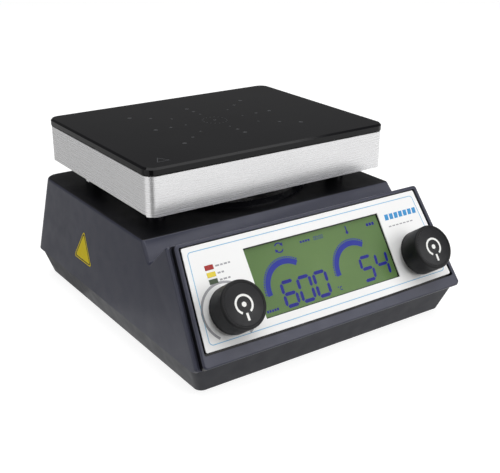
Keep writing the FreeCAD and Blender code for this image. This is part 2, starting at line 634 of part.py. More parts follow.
def front_bezel():
    """Moulded frame on the sloping front, with a recess for the overlay."""
    bezel = panel_sheet(1.1, PANEL_LENGTH + 0.6, SHELL_FRONT, BEZEL_TOP, bezel_inward(), 0.0, BEZEL_CORNER)
    outer = edges_where(bezel, lambda m, e: abs(m.z - BEZEL_TOP) < 1e-6)
    bezel = try_fillet(bezel, outer, (1.2, 0.8))
    top, bottom = OVERLAY_S
    trench = panel_sheet(top - OVERLAY_GAP * 0.5, bottom + OVERLAY_GAP, TRENCH_FLOOR, BEZEL_TOP + 1,
                         bezel_inward() + OVERLAY_MARGIN, OVERLAY_BOW, 1.0)
    plateau = panel_sheet(top + 0.3, bottom - 0.3, TRENCH_FLOOR - 0.5, OVERLAY_TOP - OVERLAY_THICKNESS,
                          bezel_inward() + OVERLAY_MARGIN + OVERLAY_GAP + 0.3, OVERLAY_BOW)
    bezel = bezel.cut(trench).fuse(plateau)
    bezel = bezel.cut(lcd_block(0.0, -20, 20))
    for x in (-KNOB_X, KNOB_X):
        bezel = bezel.cut(cylinder(ENCODER_HOLE + 0.2, -10, 10, x, -KNOB_S))
    for s in LED_S:
        bezel = bezel.cut(led_block(s, 0.1, -20, 20))
    for x, s in board_screw_places():
        bezel = bezel.fuse(cylinder(3.0, BOARD_H, SHELL_FRONT + 0.5, x, -s)).cut(cylinder(1.4, -30, 0, x, -s))
    return on_panel(bezel.removeSplitter())


def lcd_block(inward, h0, h1):
    return panel_block(LCD_X - LCD_SIZE[0] / 2 + inward, LCD_X + LCD_SIZE[0] / 2 - inward,
                       LCD_S - LCD_SIZE[1] / 2 + inward, LCD_S + LCD_SIZE[1] / 2 - inward, h0, h1)


def led_block(s, margin, h0, h1):
    return panel_block(LED_X - LED_SIZE[0] / 2 - margin, LED_X + LED_SIZE[0] / 2 + margin,
                       s - LED_SIZE[1] / 2 - margin, s + LED_SIZE[1] / 2 + margin, h0, h1)


def panel_holes(sheet):
    """Cuts the window, lamp and encoder openings through a sheet in panel coordinates."""
    sheet = sheet.cut(lcd_block(0.0, -20, 20))
    for x in (-KNOB_X, KNOB_X):
        sheet = sheet.cut(cylinder(ENCODER_HOLE + 0.2, -20, 20, x, -KNOB_S))
    for s in LED_S:
        sheet = sheet.cut(led_block(s, 0.1, -20, 20))
    return sheet


def panel_overlay():
    sheet = panel_sheet(OVERLAY_S[0], OVERLAY_S[1], OVERLAY_TOP - OVERLAY_THICKNESS, OVERLAY_TOP,
                        bezel_inward() + OVERLAY_MARGIN + OVERLAY_GAP, OVERLAY_BOW, 1.0)
    return on_panel(panel_holes(sheet))


def lcd_window():
    return on_panel(lcd_block(0.05, OVERLAY_TOP - 1.2, OVERLAY_TOP))


def lcd_glass():
    """Display cell with its backlight."""
    return on_panel(lcd_block(0.05, OVERLAY_TOP - 6.4, OVERLAY_TOP - 1.5))


def lcd_frame():
    """Frame that clamps the display to the control board."""
    h0, h1 = BOARD_H, SHELL_FRONT - 0.1
    half_width, half_height = LCD_SIZE[0] / 2 + 3, LCD_SIZE[1] / 2 + 2.6
    frame = panel_block(LCD_X - half_width, LCD_X + half_width, LCD_S - half_height, LCD_S + half_height, h0, h1)
    frame = frame.cut(lcd_block(0.0, OVERLAY_TOP - 6.4, 20)).cut(lcd_block(4, h0 - 1, 20))
    return on_panel(frame)


def led_lens(s):
    lens = led_block(s, 0.0, OVERLAY_TOP - 4.0, OVERLAY_TOP + 0.15)
    body = cylinder(1.4, BOARD_H, OVERLAY_TOP - 4.0, LED_X, -s)
    return on_panel(lens.fuse(body))


def control_board():
    board = panel_block(-88, 88, 9, 63, BOARD_H - BOARD_THICKNESS, BOARD_H)
    for x in (-KNOB_X, KNOB_X):
        board = board.cut(cylinder(5.2, BOARD_H - 5, BOARD_H + 5, x, -KNOB_S))
    for x, s in board_screw_places():
        board = board.cut(cylinder(1.7, BOARD_H - 5, BOARD_H + 5, x, -s))
    chip = panel_block(-12, 12, 24, 38, BOARD_H - BOARD_THICKNESS - 2.4, BOARD_H - BOARD_THICKNESS)
    plug = panel_block(20, 44, 44, 50, BOARD_H - BOARD_THICKNESS - 6, BOARD_H - BOARD_THICKNESS)
    return on_panel(board.fuse(chip).fuse(plug).removeSplitter())


def board_screw_places():
    return [(sx * 62.0, s) for sx in (-1, 1) for s in (13.0, 59.0)]


def control_board_screws():
    seat = BOARD_H - BOARD_THICKNESS - 1.8
    screws = [screw(2.8, 1.8, 1.4, 10.5, V(x, -s, seat), Z_AXIS) for x, s in board_screw_places()]
    return on_panel(Part.makeCompound(screws))


ENCODER_BODY_H = (BOARD_H, BOARD_H + 6.5)
BUSH_TOP = OVERLAY_TOP + 2.3
PLUNGER_H = (BOARD_H - 4.0, BOARD_H + 0.9)


def encoder_body(side):
    """Encoder can on the board with its threaded bush through the panel."""
    x = side * KNOB_X
    can = box(x - 6.5, x + 6.5, -KNOB_S - 6.5, -KNOB_S + 6.5, ENCODER_BODY_H[0], ENCODER_BODY_H[1])
    body = can.fuse(cylinder(ENCODER_HOLE, ENCODER_BODY_H[1] - 0.5, BUSH_TOP, x, -KNOB_S))
    body = body.cut(cylinder(SHAFT_RADIUS + SHAFT_GAP, BOARD_H - 1, 30, x, -KNOB_S))
    body = body.cut(cylinder(4.6, BOARD_H - 1, BOARD_H + 2.0, x, -KNOB_S))
    return on_panel(body.removeSplitter())


def encoder_shaft(side):
    x = side * KNOB_X
    shaft = cylinder(SHAFT_RADIUS, PLUNGER_H[1], KNOB_TOP - 3.0, x, -KNOB_S)
    flat = box(x - 5, x + 5, -KNOB_S + 1.6, -KNOB_S + 6, BUSH_TOP + 1.0, KNOB_TOP)
    return on_panel(shaft.cut(flat))


def encoder_plunger(side):
    """Push slider under the shaft: it travels with the shaft but does not turn."""
    x = side * KNOB_X
    foot = cylinder(2.2, PLUNGER_H[0], PLUNGER_H[1] - 1.0, x, -KNOB_S)
    return on_panel(foot.fuse(cylinder(4.3, PLUNGER_H[1] - 1.0, PLUNGER_H[1], x, -KNOB_S)).removeSplitter())


def encoder_nuts():
    nuts = []
    for x in (-KNOB_X, KNOB_X):
        points = [V(x + 5.6 * math.cos(a), -KNOB_S + 5.6 * math.sin(a), OVERLAY_TOP) for a in
                  (i * math.tau / 6 for i in range(7))]
        nut = Part.Face(Part.makePolygon(points)).extrude(V(0, 0, 2.0))
        nuts.append(nut.cut(cylinder(ENCODER_HOLE + 0.02, 0, 10, x, -KNOB_S)))
    return on_panel(Part.makeCompound(nuts))


def knob(side):
    """Round knob with a hollow underside round the nut, and a shallow round recess in its face."""
    x = side * KNOB_X
    body = cylinder(KNOB_RADIUS, KNOB_BASE, KNOB_TOP, x, -KNOB_S)
    rim = edges_where(body, lambda m, e: abs(m.z - KNOB_TOP) < 1e-6)
    body = body.makeFillet(KNOB_EDGE, rim)
    low = edges_where(body, lambda m, e: abs(m.z - KNOB_BASE) < 1e-6)
    body = body.makeChamfer(0.5, low)
    body = body.cut(cylinder(KNOB_RADIUS - 2.2, 0, KNOB_TOP - 7.0, x, -KNOB_S).cut(
        cylinder(5.5, BUSH_TOP + KNOB_TRAVEL + 0.4, 30, x, -KNOB_S)))
    bore = cylinder(SHAFT_RADIUS, 0, KNOB_TOP - 3.0, x, -KNOB_S).cut(
        box(x - 5, x + 5, -KNOB_S + 1.6, -KNOB_S + 6, 0, KNOB_TOP))
    body = body.cut(bore)
    return on_panel(body.removeSplitter())


# ---- power supply and rear -----------------------------------------------------------------------------
POWER_BOARD_Z = 10.5


def board_stud_places():
    return [(-78.0, -84.0), (78.0, -84.0), (-78.0, 26.0), (78.0, 26.0)]


def power_board():
    board = rounded_block(168, 122, POWER_BOARD_Z, POWER_BOARD_Z + 1.6, 3.0, 0, -29)
    for x, y in board_stud_places():
        board = board.cut(cylinder(1.6, 0, 40, x, y))
    for x, y, width, depth, height in ((52, 8, 22, 12, 9), (34, -76, 14, 8, 5), (-30, -80, 20, 20, 4)):
        board = board.fuse(box(x - width / 2, x + width / 2, y - depth / 2, y + depth / 2,
                               POWER_BOARD_Z + 1.0, POWER_BOARD_Z + 1.6 + height))
    return board.removeSplitter()


def power_board_screws():
    return Part.makeCompound([screw(2.8, 1.8, 1.15, 4.5, V(x, y, POWER_BOARD_Z + 1.6 + 1.8))
                              for x, y in board_stud_places()])


def transformer():
    """Laminated core round a wound bobbin, potted together."""
    z0 = POWER_BOARD_Z + 1.6
    core = box(-81, -47, -62, -26, z0 + 3, z0 + 33)
    return core.fuse(box(-85, -43, -56, -32, z0, z0 + 28)).removeSplitter()


def heat_sink():
    """Finned sink for the heater's switching device."""
    z0 = POWER_BOARD_Z + 1.6
    sink = box(-30, 30, 21.0, 24.0, z0, z0 + 18)
    for i in range(9):
        x = -28.0 + i * 7.0
        sink = sink.fuse(box(x - 0.7, x + 0.7, 10.0, 21.5, z0, z0 + 18))
    return sink.removeSplitter()


def rear_panel():
    y0, y1 = REAR_PANEL_Y, REAR_PANEL_Y + REAR_PANEL_THICKNESS
    width, height = REAR_PANEL_SIZE
    panel = box(-width / 2, width / 2, y0, y1, REAR_PANEL_Z - height / 2, REAR_PANEL_Z + height / 2)
    panel = panel.cut(box(INLET_X - 13.6, INLET_X + 13.6, 0, 99, REAR_PANEL_Z - 15.2, REAR_PANEL_Z + 15.2))
    panel = panel.cut(box(SWITCH_X - 6.6, SWITCH_X + 6.6, 0, 99, REAR_PANEL_Z - 9.6, REAR_PANEL_Z + 9.6))
    panel = panel.cut(cylinder_y(6.1, 0, 99, PROBE_X, REAR_PANEL_Z))
    for x, z in rear_screw_places():
        panel = panel.cut(cylinder_y(1.6, 0, 99, x, z))
    return panel


def rear_screw_places():
    return [(sx * 66.0, REAR_PANEL_Z + sz * 12.5) for sx in (-1, 1) for sz in (-1, 1)]


def rear_screws():
    face = REAR_PANEL_Y + REAR_PANEL_THICKNESS
    return Part.makeCompound([screw(2.8, 1.8, 1.5, 5.0, V(x, face + 1.8, z), V(0, -1, 0))
                              for x, z in rear_screw_places()])


INLET_FACE = REAR_PANEL_Y + REAR_PANEL_THICKNESS
SOCKET_DEPTH = 16.5
SOCKET_Z = REAR_PANEL_Z - 4.0
DRAWER_Z = REAR_PANEL_Z + 10.2
DRAWER_SIZE = (20.0, 7.0)
ROCKER_PIVOT = -1.0                   # the rocker's pins lie this far behind the panel face


def rear_box(x, half_width, half_height, y0, y1):
    """Block centred on the height of the rear panel."""
    return box(x - half_width, x + half_width, y0, y1, REAR_PANEL_Z - half_height, REAR_PANEL_Z + half_height)


def mains_inlet():
    """Appliance inlet for a detachable cord, with a slot above it for the fuse drawer."""
    body = rear_box(INLET_X, 13.4, 15.0, INLET_FACE - 23, INLET_FACE)
    flange = rear_box(INLET_X, 15.6, 16.4, INLET_FACE, INLET_FACE + 2.4)
    edges = edges_where(flange, lambda m, e: m.y > INLET_FACE + 2.3 or abs(m.y - INLET_FACE - 1.2) < 0.1)
    flange = try_fillet(flange, edges, (1.0, 0.6))
    body = body.fuse(flange)
    face = INLET_FACE + 2.4
    outline = ((-12.3, -8.2), (12.3, -8.2), (12.3, 3.6), (7.8, 8.2), (-7.8, 8.2), (-12.3, 3.6))
    mouth = [V(INLET_X + dx, face - SOCKET_DEPTH, SOCKET_Z + dz) for dx, dz in outline]
    socket = Part.Face(Part.makePolygon(mouth + mouth[:1])).extrude(V(0, SOCKET_DEPTH + 5, 0))
    body = body.cut(socket)
    width, height = DRAWER_SIZE
    slot = box(INLET_X - width / 2 - 0.1, INLET_X + width / 2 + 0.1, face - 22, face + 5,
               DRAWER_Z - height / 2 - 0.1, DRAWER_Z + height / 2 + 0.1)
    body = body.cut(slot)
    for dx, dz in ((-7.0, -1.0), (7.0, -1.0), (0.0, 3.0)):
        body = body.cut(box(INLET_X + dx - 1.0, INLET_X + dx + 1.0, 30, face - SOCKET_DEPTH + 1,
                            SOCKET_Z + dz - 2.0, SOCKET_Z + dz + 2.0))
    return body.removeSplitter()


def inlet_pins():
    """Three flat pins in the inlet, with solder tails behind it."""
    root = INLET_FACE + 2.4 - SOCKET_DEPTH
    pins = []
    for dx, dz in ((-7.0, -1.0), (7.0, -1.0), (0.0, 3.0)):
        pins.append(box(INLET_X + dx - 1.0, INLET_X + dx + 1.0, root - 12, root + 10.5,
                        SOCKET_Z + dz - 2.0, SOCKET_Z + dz + 2.0))
    return Part.makeCompound(pins)


def fuse_drawer():
    """Drawer with two fuse cradles and a finger notch in its face."""
    width, height = DRAWER_SIZE
    face = INLET_FACE + 2.4
    drawer = box(INLET_X - width / 2, INLET_X + width / 2, face - 21.5, face + 0.8,
                 DRAWER_Z - height / 2, DRAWER_Z + height / 2)
    for x0 in (INLET_X - 8.5, INLET_X + 1.0):
        drawer = drawer.cut(box(x0, x0 + 7.5, face - 20, face - 3, DRAWER_Z - height / 2 + 1.2, DRAWER_Z + 9))
    notch = box(INLET_X - 3.0, INLET_X + 3.0, face - 0.8, face + 2, DRAWER_Z - height / 2 - 1, DRAWER_Z - 1.2)
    return drawer.cut(notch)


def fuses():
    face = INLET_FACE + 2.4
    glass = [cylinder_y(2.2, face - 19.6, face - 3.4, x, DRAWER_Z) for x in (INLET_X - 4.75, INLET_X + 4.75)]
    return Part.makeCompound(glass)


def switch_frame():
    body = rear_box(SWITCH_X, 6.5, 9.5, INLET_FACE - 14, INLET_FACE)
    body = body.fuse(rear_box(SWITCH_X, 7.6, 10.8, INLET_FACE, INLET_FACE + 2.0))
    body = body.cut(rear_box(SWITCH_X, 5.2, 8.4, INLET_FACE - 8, INLET_FACE + 5))
    pin = V(SWITCH_X - 6.7, INLET_FACE + ROCKER_PIVOT, REAR_PANEL_Z)
    body = body.cut(Part.makeCylinder(1.05, 13.4, pin, X_AXIS))
    return body.removeSplitter()



def switch_rocker():
    """Rocker on two stub pins, drawn level and then tilted to its rest side."""
    centre = V(SWITCH_X, INLET_FACE + ROCKER_PIVOT, REAR_PANEL_Z)
    paddle = cylinder_paddle(centre)
    pins = Part.makeCylinder(1.0, 12.8, centre - V(6.4, 0, 0), X_AXIS)
    rocker = paddle.fuse(pins).removeSplitter()
    rocker.rotate(centre, X_AXIS, ROCKER_TILT)
    return rocker


def cylinder_paddle(centre):
    """Paddle with a shallow dished front, for a rocker whose pivot is at centre."""
    block = rear_box(SWITCH_X, 4.9, 7.4, centre.y - 2.6, centre.y + 5.0)
    dish = Part.makeCylinder(22.0, 12, V(centre.x - 6, centre.y + 5.0 + 20.9, centre.z), X_AXIS)
    return block.cut(dish)


def probe_socket():
    """Round socket for an outside temperature probe, with its ring nut."""
    body = cylinder_y(6.0, INLET_FACE - 12, INLET_FACE + 4.5, PROBE_X, REAR_PANEL_Z)
    ring = cylinder_y(8.0, INLET_FACE, INLET_FACE + 2.2, PROBE_X, REAR_PANEL_Z)
    body = body.fuse(ring).cut(cylinder_y(4.4, INLET_FACE - 4, INLET_FACE + 9, PROBE_X, REAR_PANEL_Z))
    for i in range(5):
        angle = math.radians(-120 + 60 * i)
        body = body.fuse(cylinder_y(0.6, INLET_FACE - 4.5, INLET_FACE + 2.0, PROBE_X + 2.6 * math.cos(angle),
                                    REAR_PANEL_Z + 2.6 * math.sin(angle)))
    return body.removeSplitter()


def rod_bush():
    """Bush in the rear wall that takes the screwed end of a support rod, with a flange inside the wall."""
    body = cylinder_y(ROD_OUTER, ROD_FLANGE_Y - 10, ROD_END, ROD_X, ROD_Z)
    body = body.fuse(cylinder_y(ROD_OUTER + 2.0, ROD_FLANGE_Y - 3, ROD_FLANGE_Y, ROD_X, ROD_Z))
    return body.cut(cylinder_y(ROD_RADIUS, ROD_FLANGE_Y - 7, 90, ROD_X, ROD_Z)).removeSplitter()


# ---- wiring --------------------------------------------------------------------------------------------
def wire_path(points, radius):
    """Tube of this radius along straight runs joined by tangent arcs."""
    edges = []
    last = points[0]
    for i in range(1, len(points) - 1):
        corner = points[i]
        back = (points[i - 1] - corner)
        ahead = (points[i + 1] - corner)
        reach = 0.42 * min(back.Length, ahead.Length)
        back.normalize()
        ahead.normalize()
        half = back.getAngle(ahead) / 2
        bend = reach * math.tan(half)
        start, finish = corner + back * reach, corner + ahead * reach
        middle = corner + (back + ahead).normalize() * (bend / math.sin(half) - bend)
        edges.append(Part.LineSegment(last, start).toShape())
        edges.append(Part.Arc(start, middle, finish).toShape())
        last = finish
    edges.append(Part.LineSegment(last, points[-1]).toShape())
    path = Part.Wire(edges)
    direction = (points[1] - points[0]).normalize()
    ring = Part.Wire([Part.makeCircle(radius, points[0], direction)])
    return path.makePipeShell([ring], True, False)


def heater_leads():
    """Sleeved pair from the power board up through the deck grommet to the heater."""
    z0 = POWER_BOARD_Z + 1.6
    points = [V(LEAD_X, 4, z0), V(LEAD_X, 4, z0 + 22), V(LEAD_X, LEAD_Y, z0 + 36),
              V(LEAD_X, LEAD_Y, HEATER_BOTTOM - TRACK_THICKNESS)]
    return wire_path(points, 2.4)


def deck_grommet():
    """Rubber ring in the deck and the shield round the heater leads."""
    body = tube(LEAD_RADIUS, 2.45, DECK_Z - WALL - 1.5, SHIELD_TOP + 0.6, LEAD_X, LEAD_Y)
    collar = tube(LEAD_RADIUS + 2, 2.45, DECK_Z - WALL - 1.5, DECK_Z - WALL, LEAD_X, LEAD_Y)
    return body.fuse(collar).removeSplitter()


# ---- writing out ---------------------------------------------------------------------------------------
def pieces():
    made = {
        "housing_shell": housing_shell(),
        "base_tray": base_tray(),
        "rubber_feet": rubber_feet(),
        "case_screws": case_screws(),
        "deck_shield": deck_shield(),
        "glass_plate": glass_plate(),
        "glass_gasket": glass_gasket(),
        "plate_skirt": plate_skirt(),
        "heater_plate": heater_plate(),
        "heater_track": heater_track(),
        "insulation_pad": insulation_pad(),
        "insulation_pan": insulation_pan(),
        "plate_probe": plate_probe(),
        "plate_posts": plate_posts(),
        "post_screws": post_screws(),
        "motor_bracket": motor_bracket(),
        "motor_screws": motor_screws(),
        "bearing_tube": bearing_tube(),
        "shaft_bearings": shaft_bearings(),
        "motor_stator": motor_stator(),
        "motor_coils": motor_coils(),
        "motor_shaft": motor_shaft(),
        "rotor_bell": rotor_bell(),
        "magnet_carrier": magnet_carrier(),
        "drive_magnets": drive_magnets(),
        "front_bezel": front_bezel(),
        "panel_overlay": panel_overlay(),
        "lcd_window": lcd_window(),
        "lcd_glass": lcd_glass(),
        "lcd_frame": lcd_frame(),
        "control_board": control_board(),
        "control_board_screws": control_board_screws(),
        "encoder_nuts": encoder_nuts(),
        "power_board": power_board(),
        "power_board_screws": power_board_screws(),
        "transformer": transformer(),
        "heat_sink": heat_sink(),
        "rear_panel": rear_panel(),
        "rear_screws": rear_screws(),
        "mains_inlet": mains_inlet(),
        "inlet_pins": inlet_pins(),
        "fuse_drawer": fuse_drawer(),
        "fuses": fuses(),
        "switch_frame": switch_frame(),
        "switch_rocker": switch_rocker(),
        "probe_socket": probe_socket(),
        "rod_bush": rod_bush(),
        "heater_leads": heater_leads(),
        "deck_grommet": deck_grommet(),
    }
    for colour, s in zip(("red", "yellow", "green"), LED_S):
        made[f"led_{colour}"] = led_lens(s)
    for name, side in (("speed", -1), ("heat", 1)):
        made[f"{name}_knob"] = knob(side)
        made[f"{name}_encoder_body"] = encoder_body(side)
        made[f"{name}_encoder_shaft"] = encoder_shaft(side)
        made[f"{name}_encoder_plunger"] = encoder_plunger(side)
    return made


def main():
    os.makedirs("parts", exist_ok=True)
    for name, shape in pieces().items():
        moved = shape.copy()
        moved.translate(V(0, AXIS_Y, 0))
        solids = moved.Solids
        if not solids or not all(s.isValid() and s.Volume > 0 for s in solids):
            print("check", name, "solids", len(solids), "valid", [s.isValid() for s in solids])
        moved.exportStep(os.path.join("parts", name + ".step"))


if __name__ == "__main__":
    main()
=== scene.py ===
"""Looks for the hotplate magnetic stirrer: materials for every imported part, detailed knobs, and all printing.

Lengths are written in millimetres and turned into metres by MM, except those of the room and the camera,
which are in metres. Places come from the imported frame. The control panel has its own plane: its origin lies
midway between the two knob axes, X runs across, T up the slope and N out of the panel, all read from the knob
joints.
"""
import json
import math

import bmesh
import bpy
from mathutils import Matrix, Vector


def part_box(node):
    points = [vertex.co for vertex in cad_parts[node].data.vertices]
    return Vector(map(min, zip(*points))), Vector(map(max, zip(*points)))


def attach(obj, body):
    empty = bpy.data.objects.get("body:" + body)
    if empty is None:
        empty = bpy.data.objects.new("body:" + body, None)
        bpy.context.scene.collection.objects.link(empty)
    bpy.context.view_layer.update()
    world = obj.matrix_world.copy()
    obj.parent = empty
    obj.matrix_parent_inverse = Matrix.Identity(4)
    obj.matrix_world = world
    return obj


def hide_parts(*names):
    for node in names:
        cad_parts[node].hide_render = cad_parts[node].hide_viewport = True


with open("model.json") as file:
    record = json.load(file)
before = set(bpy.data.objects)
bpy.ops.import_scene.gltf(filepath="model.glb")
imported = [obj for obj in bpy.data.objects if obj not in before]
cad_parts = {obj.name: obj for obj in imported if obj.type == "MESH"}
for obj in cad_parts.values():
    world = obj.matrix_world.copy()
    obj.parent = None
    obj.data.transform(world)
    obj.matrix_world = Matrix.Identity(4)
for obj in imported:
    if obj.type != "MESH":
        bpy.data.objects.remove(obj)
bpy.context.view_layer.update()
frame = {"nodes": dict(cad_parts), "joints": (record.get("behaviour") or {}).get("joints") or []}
NODES = frame["nodes"]
JOINTS = {joint["name"]: joint for joint in frame["joints"]}
AXIS = JOINTS["stir_spin"]["pos_m"]
MM = 0.001
ROOT = "stirrer"
PRINT = 0.03                          # thickness of screen printing, mm

# ---- the panel's own plane -----------------------------------------------------------------------------
LEFT_KNOB = Vector(JOINTS["speed_turn"]["pos_m"])
RIGHT_KNOB = Vector(JOINTS["heat_turn"]["pos_m"])
PANEL_ORIGIN = (LEFT_KNOB + RIGHT_KNOB) / 2
PANEL_N = Vector(JOINTS["speed_turn"]["axis"]).normalized()
PANEL_X = Vector((1, 0, 0))
PANEL_T = PANEL_N.cross(PANEL_X)
KNOB_X = (RIGHT_KNOB - LEFT_KNOB).length / 2 / MM


def on_panel(x, t, h):
    """Point of the row frame from panel coordinates in mm."""
    return PANEL_ORIGIN + (PANEL_X * x + PANEL_T * t + PANEL_N * h) * MM


def panel_extent(node):
    """Lowest and highest (x, t, h) of a CAD node in panel coordinates, mm."""
    axes = (PANEL_X, PANEL_T, PANEL_N)
    places = [[(v.co - PANEL_ORIGIN).dot(a) / MM for a in axes] for v in NODES[node].data.vertices]
    return [min(p[i] for p in places) for i in range(3)], [max(p[i] for p in places) for i in range(3)]


# ---- material building ---------------------------------------------------------------------------------
class Finish:
    """A Principled material with helpers that add procedural variation, roughness and bump."""

    def __init__(self, name, color, roughness, **constants):
        self.material = bpy.data.materials.new(name)
        self.material.use_nodes = True
        self.nodes = self.material.node_tree.nodes
        self.links = self.material.node_tree.links
        self.shader = self.nodes["Principled BSDF"]
        self.color = color
        self.shader.inputs["Base Color"].default_value = (*color, 1.0)
        self.shader.inputs["Roughness"].default_value = roughness
        self.roughness = roughness
        for key, value in constants.items():
            self.shader.inputs[key.replace("_", " ")].default_value = value
        self.normal = None

    def coords(self, stretch=(1, 1, 1)):
        """Object coordinates in mm, scaled along each axis."""
        place = self.nodes.new("ShaderNodeTexCoord")
        mapping = self.nodes.new("ShaderNodeMapping")
        mapping.inputs["Scale"].default_value = [s / MM for s in stretch]
        self.links.new(place.outputs["Object"], mapping.inputs["Vector"])
        return mapping.outputs["Vector"]

    def noise(self, size, detail=2.0, stretch=(1, 1, 1), rough=0.5):
        """Noise whose blobs are about size mm across."""
        node = self.nodes.new("ShaderNodeTexNoise")
        node.inputs["Scale"].default_value = 1.0 / size
        node.inputs["Detail"].default_value = detail
        node.inputs["Roughness"].default_value = rough
        self.links.new(self.coords(stretch), node.inputs["Vector"])
        return node.outputs["Fac"]

    def spread(self, source, low, high, start=0.3, end=0.7):
        node = self.nodes.new("ShaderNodeMapRange")
        for key, value in (("From Min", start), ("From Max", end), ("To Min", low), ("To Max", high)):
            node.inputs[key].default_value = value
        self.links.new(source, node.inputs["Value"])
        return node.outputs["Result"]

    def along(self, direction, start, end):
        """Mask for tint, off before start and on after end, in metres from the origin along a direction."""
        place = self.nodes.new("ShaderNodeTexCoord")
        product = self.nodes.new("ShaderNodeVectorMath")
        product.operation = "DOT_PRODUCT"
        product.inputs[1].default_value = direction
        self.links.new(place.outputs["Object"], product.inputs[0])
        return self.spread(product.outputs["Value"], 0.3, 0.7, start, end)

    def lower_of(self, one, two):
        node = self.nodes.new("ShaderNodeMath")
        node.operation = "MINIMUM"
        self.links.new(one, node.inputs[0])
        self.links.new(two, node.inputs[1])
        return node.outputs["Value"]

    def tint(self, source, color, amount=1.0):
        """Mixes another colour over what the base colour holds so far, by source."""
        mix = self.nodes.new("ShaderNodeMix")
        mix.data_type = "RGBA"
        self.links.new(self.spread(source, 0.0, amount), mix.inputs["Factor"])
        held = self.shader.inputs["Base Color"]
        if held.is_linked:
            self.links.new(held.links[0].from_socket, mix.inputs["A"])
        else:
            mix.inputs["A"].default_value = (*self.color, 1.0)
        mix.inputs["B"].default_value = (*color, 1.0)
        self.links.new(mix.outputs["Result"], held)
        return self

    def vary_roughness(self, source, swing):
        low, high = self.roughness - swing, self.roughness + swing
        self.links.new(self.spread(source, low, high), self.shader.inputs["Roughness"])
        return self

    def bump(self, source, height, strength=1.0):
        """Adds relief of about height mm."""
        node = self.nodes.new("ShaderNodeBump")
        node.inputs["Distance"].default_value = height * MM
        node.inputs["Strength"].default_value = strength
        self.links.new(source, node.inputs["Height"])
        if self.normal:
            self.links.new(self.normal, node.inputs["Normal"])
        self.normal = node.outputs["Normal"]
        self.links.new(self.normal, self.shader.inputs["Normal"])
        return self


def enamel(name, color, roughness, grain=1.0):
    """Fine-textured stove enamel on metal: soft clouding, tiny sparkle and orange peel."""
    finish = Finish(name, color, roughness, Metallic=0.12, Specular_IOR_Level=0.3, Coat_Weight=0.04)
    lighter = [min(1.0, c * 1.35) for c in color]
    darker = [c * 0.8 for c in color]
    finish.tint(finish.noise(38.0, 3.0), lighter, 0.45)
    finish.tint(finish.noise(0.35, 1.0), darker, 0.5 * grain)
    finish.vary_roughness(finish.noise(9.0, 3.0), 0.05)
    finish.bump(finish.noise(0.55, 2.0), 0.012 * grain).bump(finish.noise(4.5, 1.0), 0.02)
    return finish


def housing_enamel():
    """Slate enamel, near black on the deck top from the skirt's front edge back: partly the deck's own dark
    finish, partly painted shade under the top plate.
    """
    finish = enamel("housing_enamel", SLATE, 0.40)
    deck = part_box("deck_shield")[0].z
    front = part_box("plate_skirt")[0].y
    over = finish.along((0, 0, 1), deck - 0.5 * MM, deck - 0.3 * MM)
    behind = finish.along((0, 1, 0), front - 1.0 * MM, front)
    # painted shade together with a dark finish: the deck top under and behind the top plate is tinted near
    # black
    finish.tint(finish.lower_of(over, behind), (0.008, 0.008, 0.010), 1.0)
    return finish.material


def bezel_enamel():
    """Slate enamel with painted shade: black inside the trench round the overlay and in the gap round the
    bezel.
    """
    finish = enamel("bezel_enamel", SLATE, 0.40)
    rim = PANEL_ORIGIN.dot(PANEL_N) + panel_extent("front_bezel")[1][2] * MM
    # painted shade: everything sunk more than 0.8 mm below the bezel's rim is tinted near black, as the trench
    # and gap lie in shade
    finish.tint(finish.along(-PANEL_N, -rim + 0.8 * MM, -rim + 1.3 * MM), (0.004, 0.004, 0.005), 1.0)
    return finish.material


def brushed(name, color, roughness, along, metallic=1.0):
    """Sheet metal brushed in one direction: long streaks along it, very short across."""
    finish = Finish(name, color, roughness, Metallic=metallic, Anisotropic=0.55)
    tangent = finish.nodes.new("ShaderNodeTangent")
    tangent.direction_type = "RADIAL"
    tangent.axis = "Z"
    finish.links.new(tangent.outputs["Tangent"], finish.shader.inputs["Tangent"])
    streak = finish.noise(0.22, 3.0, along, 0.6)
    fine = finish.noise(0.09, 2.0, along, 0.6)
    finish.tint(finish.noise(0.6, 2.0, along), [c * 0.94 for c in color], 0.5)
    finish.tint(finish.noise(45.0, 2.0), [min(1.0, c * 1.05) for c in color], 0.6)
    finish.vary_roughness(streak, 0.05)
    finish.bump(streak, 0.0006).bump(fine, 0.0004)
    return finish.material


def moulded(name, color, roughness, grain=0.5, relief=0.012):
    """Moulded plastic or rubber with a fine grain."""
    finish = Finish(name, color, roughness, Specular_IOR_Level=0.22)
    finish.tint(finish.noise(14.0, 3.0), [min(1.0, c * 1.3 + 0.002) for c in color], 0.5)
    finish.vary_roughness(finish.noise(3.0, 3.0), 0.05)
    finish.bump(finish.noise(grain, 2.0), relief)
    return finish.material


def ceramic_glass():
    """Dark glass ceramic with a polished face, a faint cloud of wipe marks and tiny pits."""
    finish = Finish("glass_ceramic", (0.005, 0.005, 0.006), 0.11, Specular_IOR_Level=0.2)
    finish.tint(finish.noise(60.0, 3.0), (0.008, 0.008, 0.009), 0.7)
    finish.vary_roughness(finish.noise(26.0, 4.0), 0.045)
    finish.bump(finish.noise(0.8, 2.0), 0.0012)
    return finish.material


def film(name, color, roughness=0.42):
    """Screen-printed polyester film with a fine sand texture."""
    finish = Finish(name, color, roughness, Specular_IOR_Level=0.25)
    finish.tint(finish.noise(30.0, 2.0), [c * 0.965 for c in color], 0.7)
    finish.tint(finish.noise(0.3, 1.0), [c * 0.93 for c in color], 0.3)
    finish.vary_roughness(finish.noise(2.0, 2.0), 0.05)
    finish.bump(finish.noise(0.25, 1.0), 0.004)
    return finish.material


def ink(name, color, roughness=0.5):
    """Printed or displayed marks, a little uneven."""
    finish = Finish(name, color, roughness, Specular_IOR_Level=0.25)
    finish.tint(finish.noise(0.7, 2.0), [min(1.0, c * 1.25 + 0.002) for c in color], 0.6)
    finish.vary_roughness(finish.noise(1.5, 2.0), 0.06)
    finish.bump(finish.noise(0.3, 1.0), 0.003)
    return finish.material


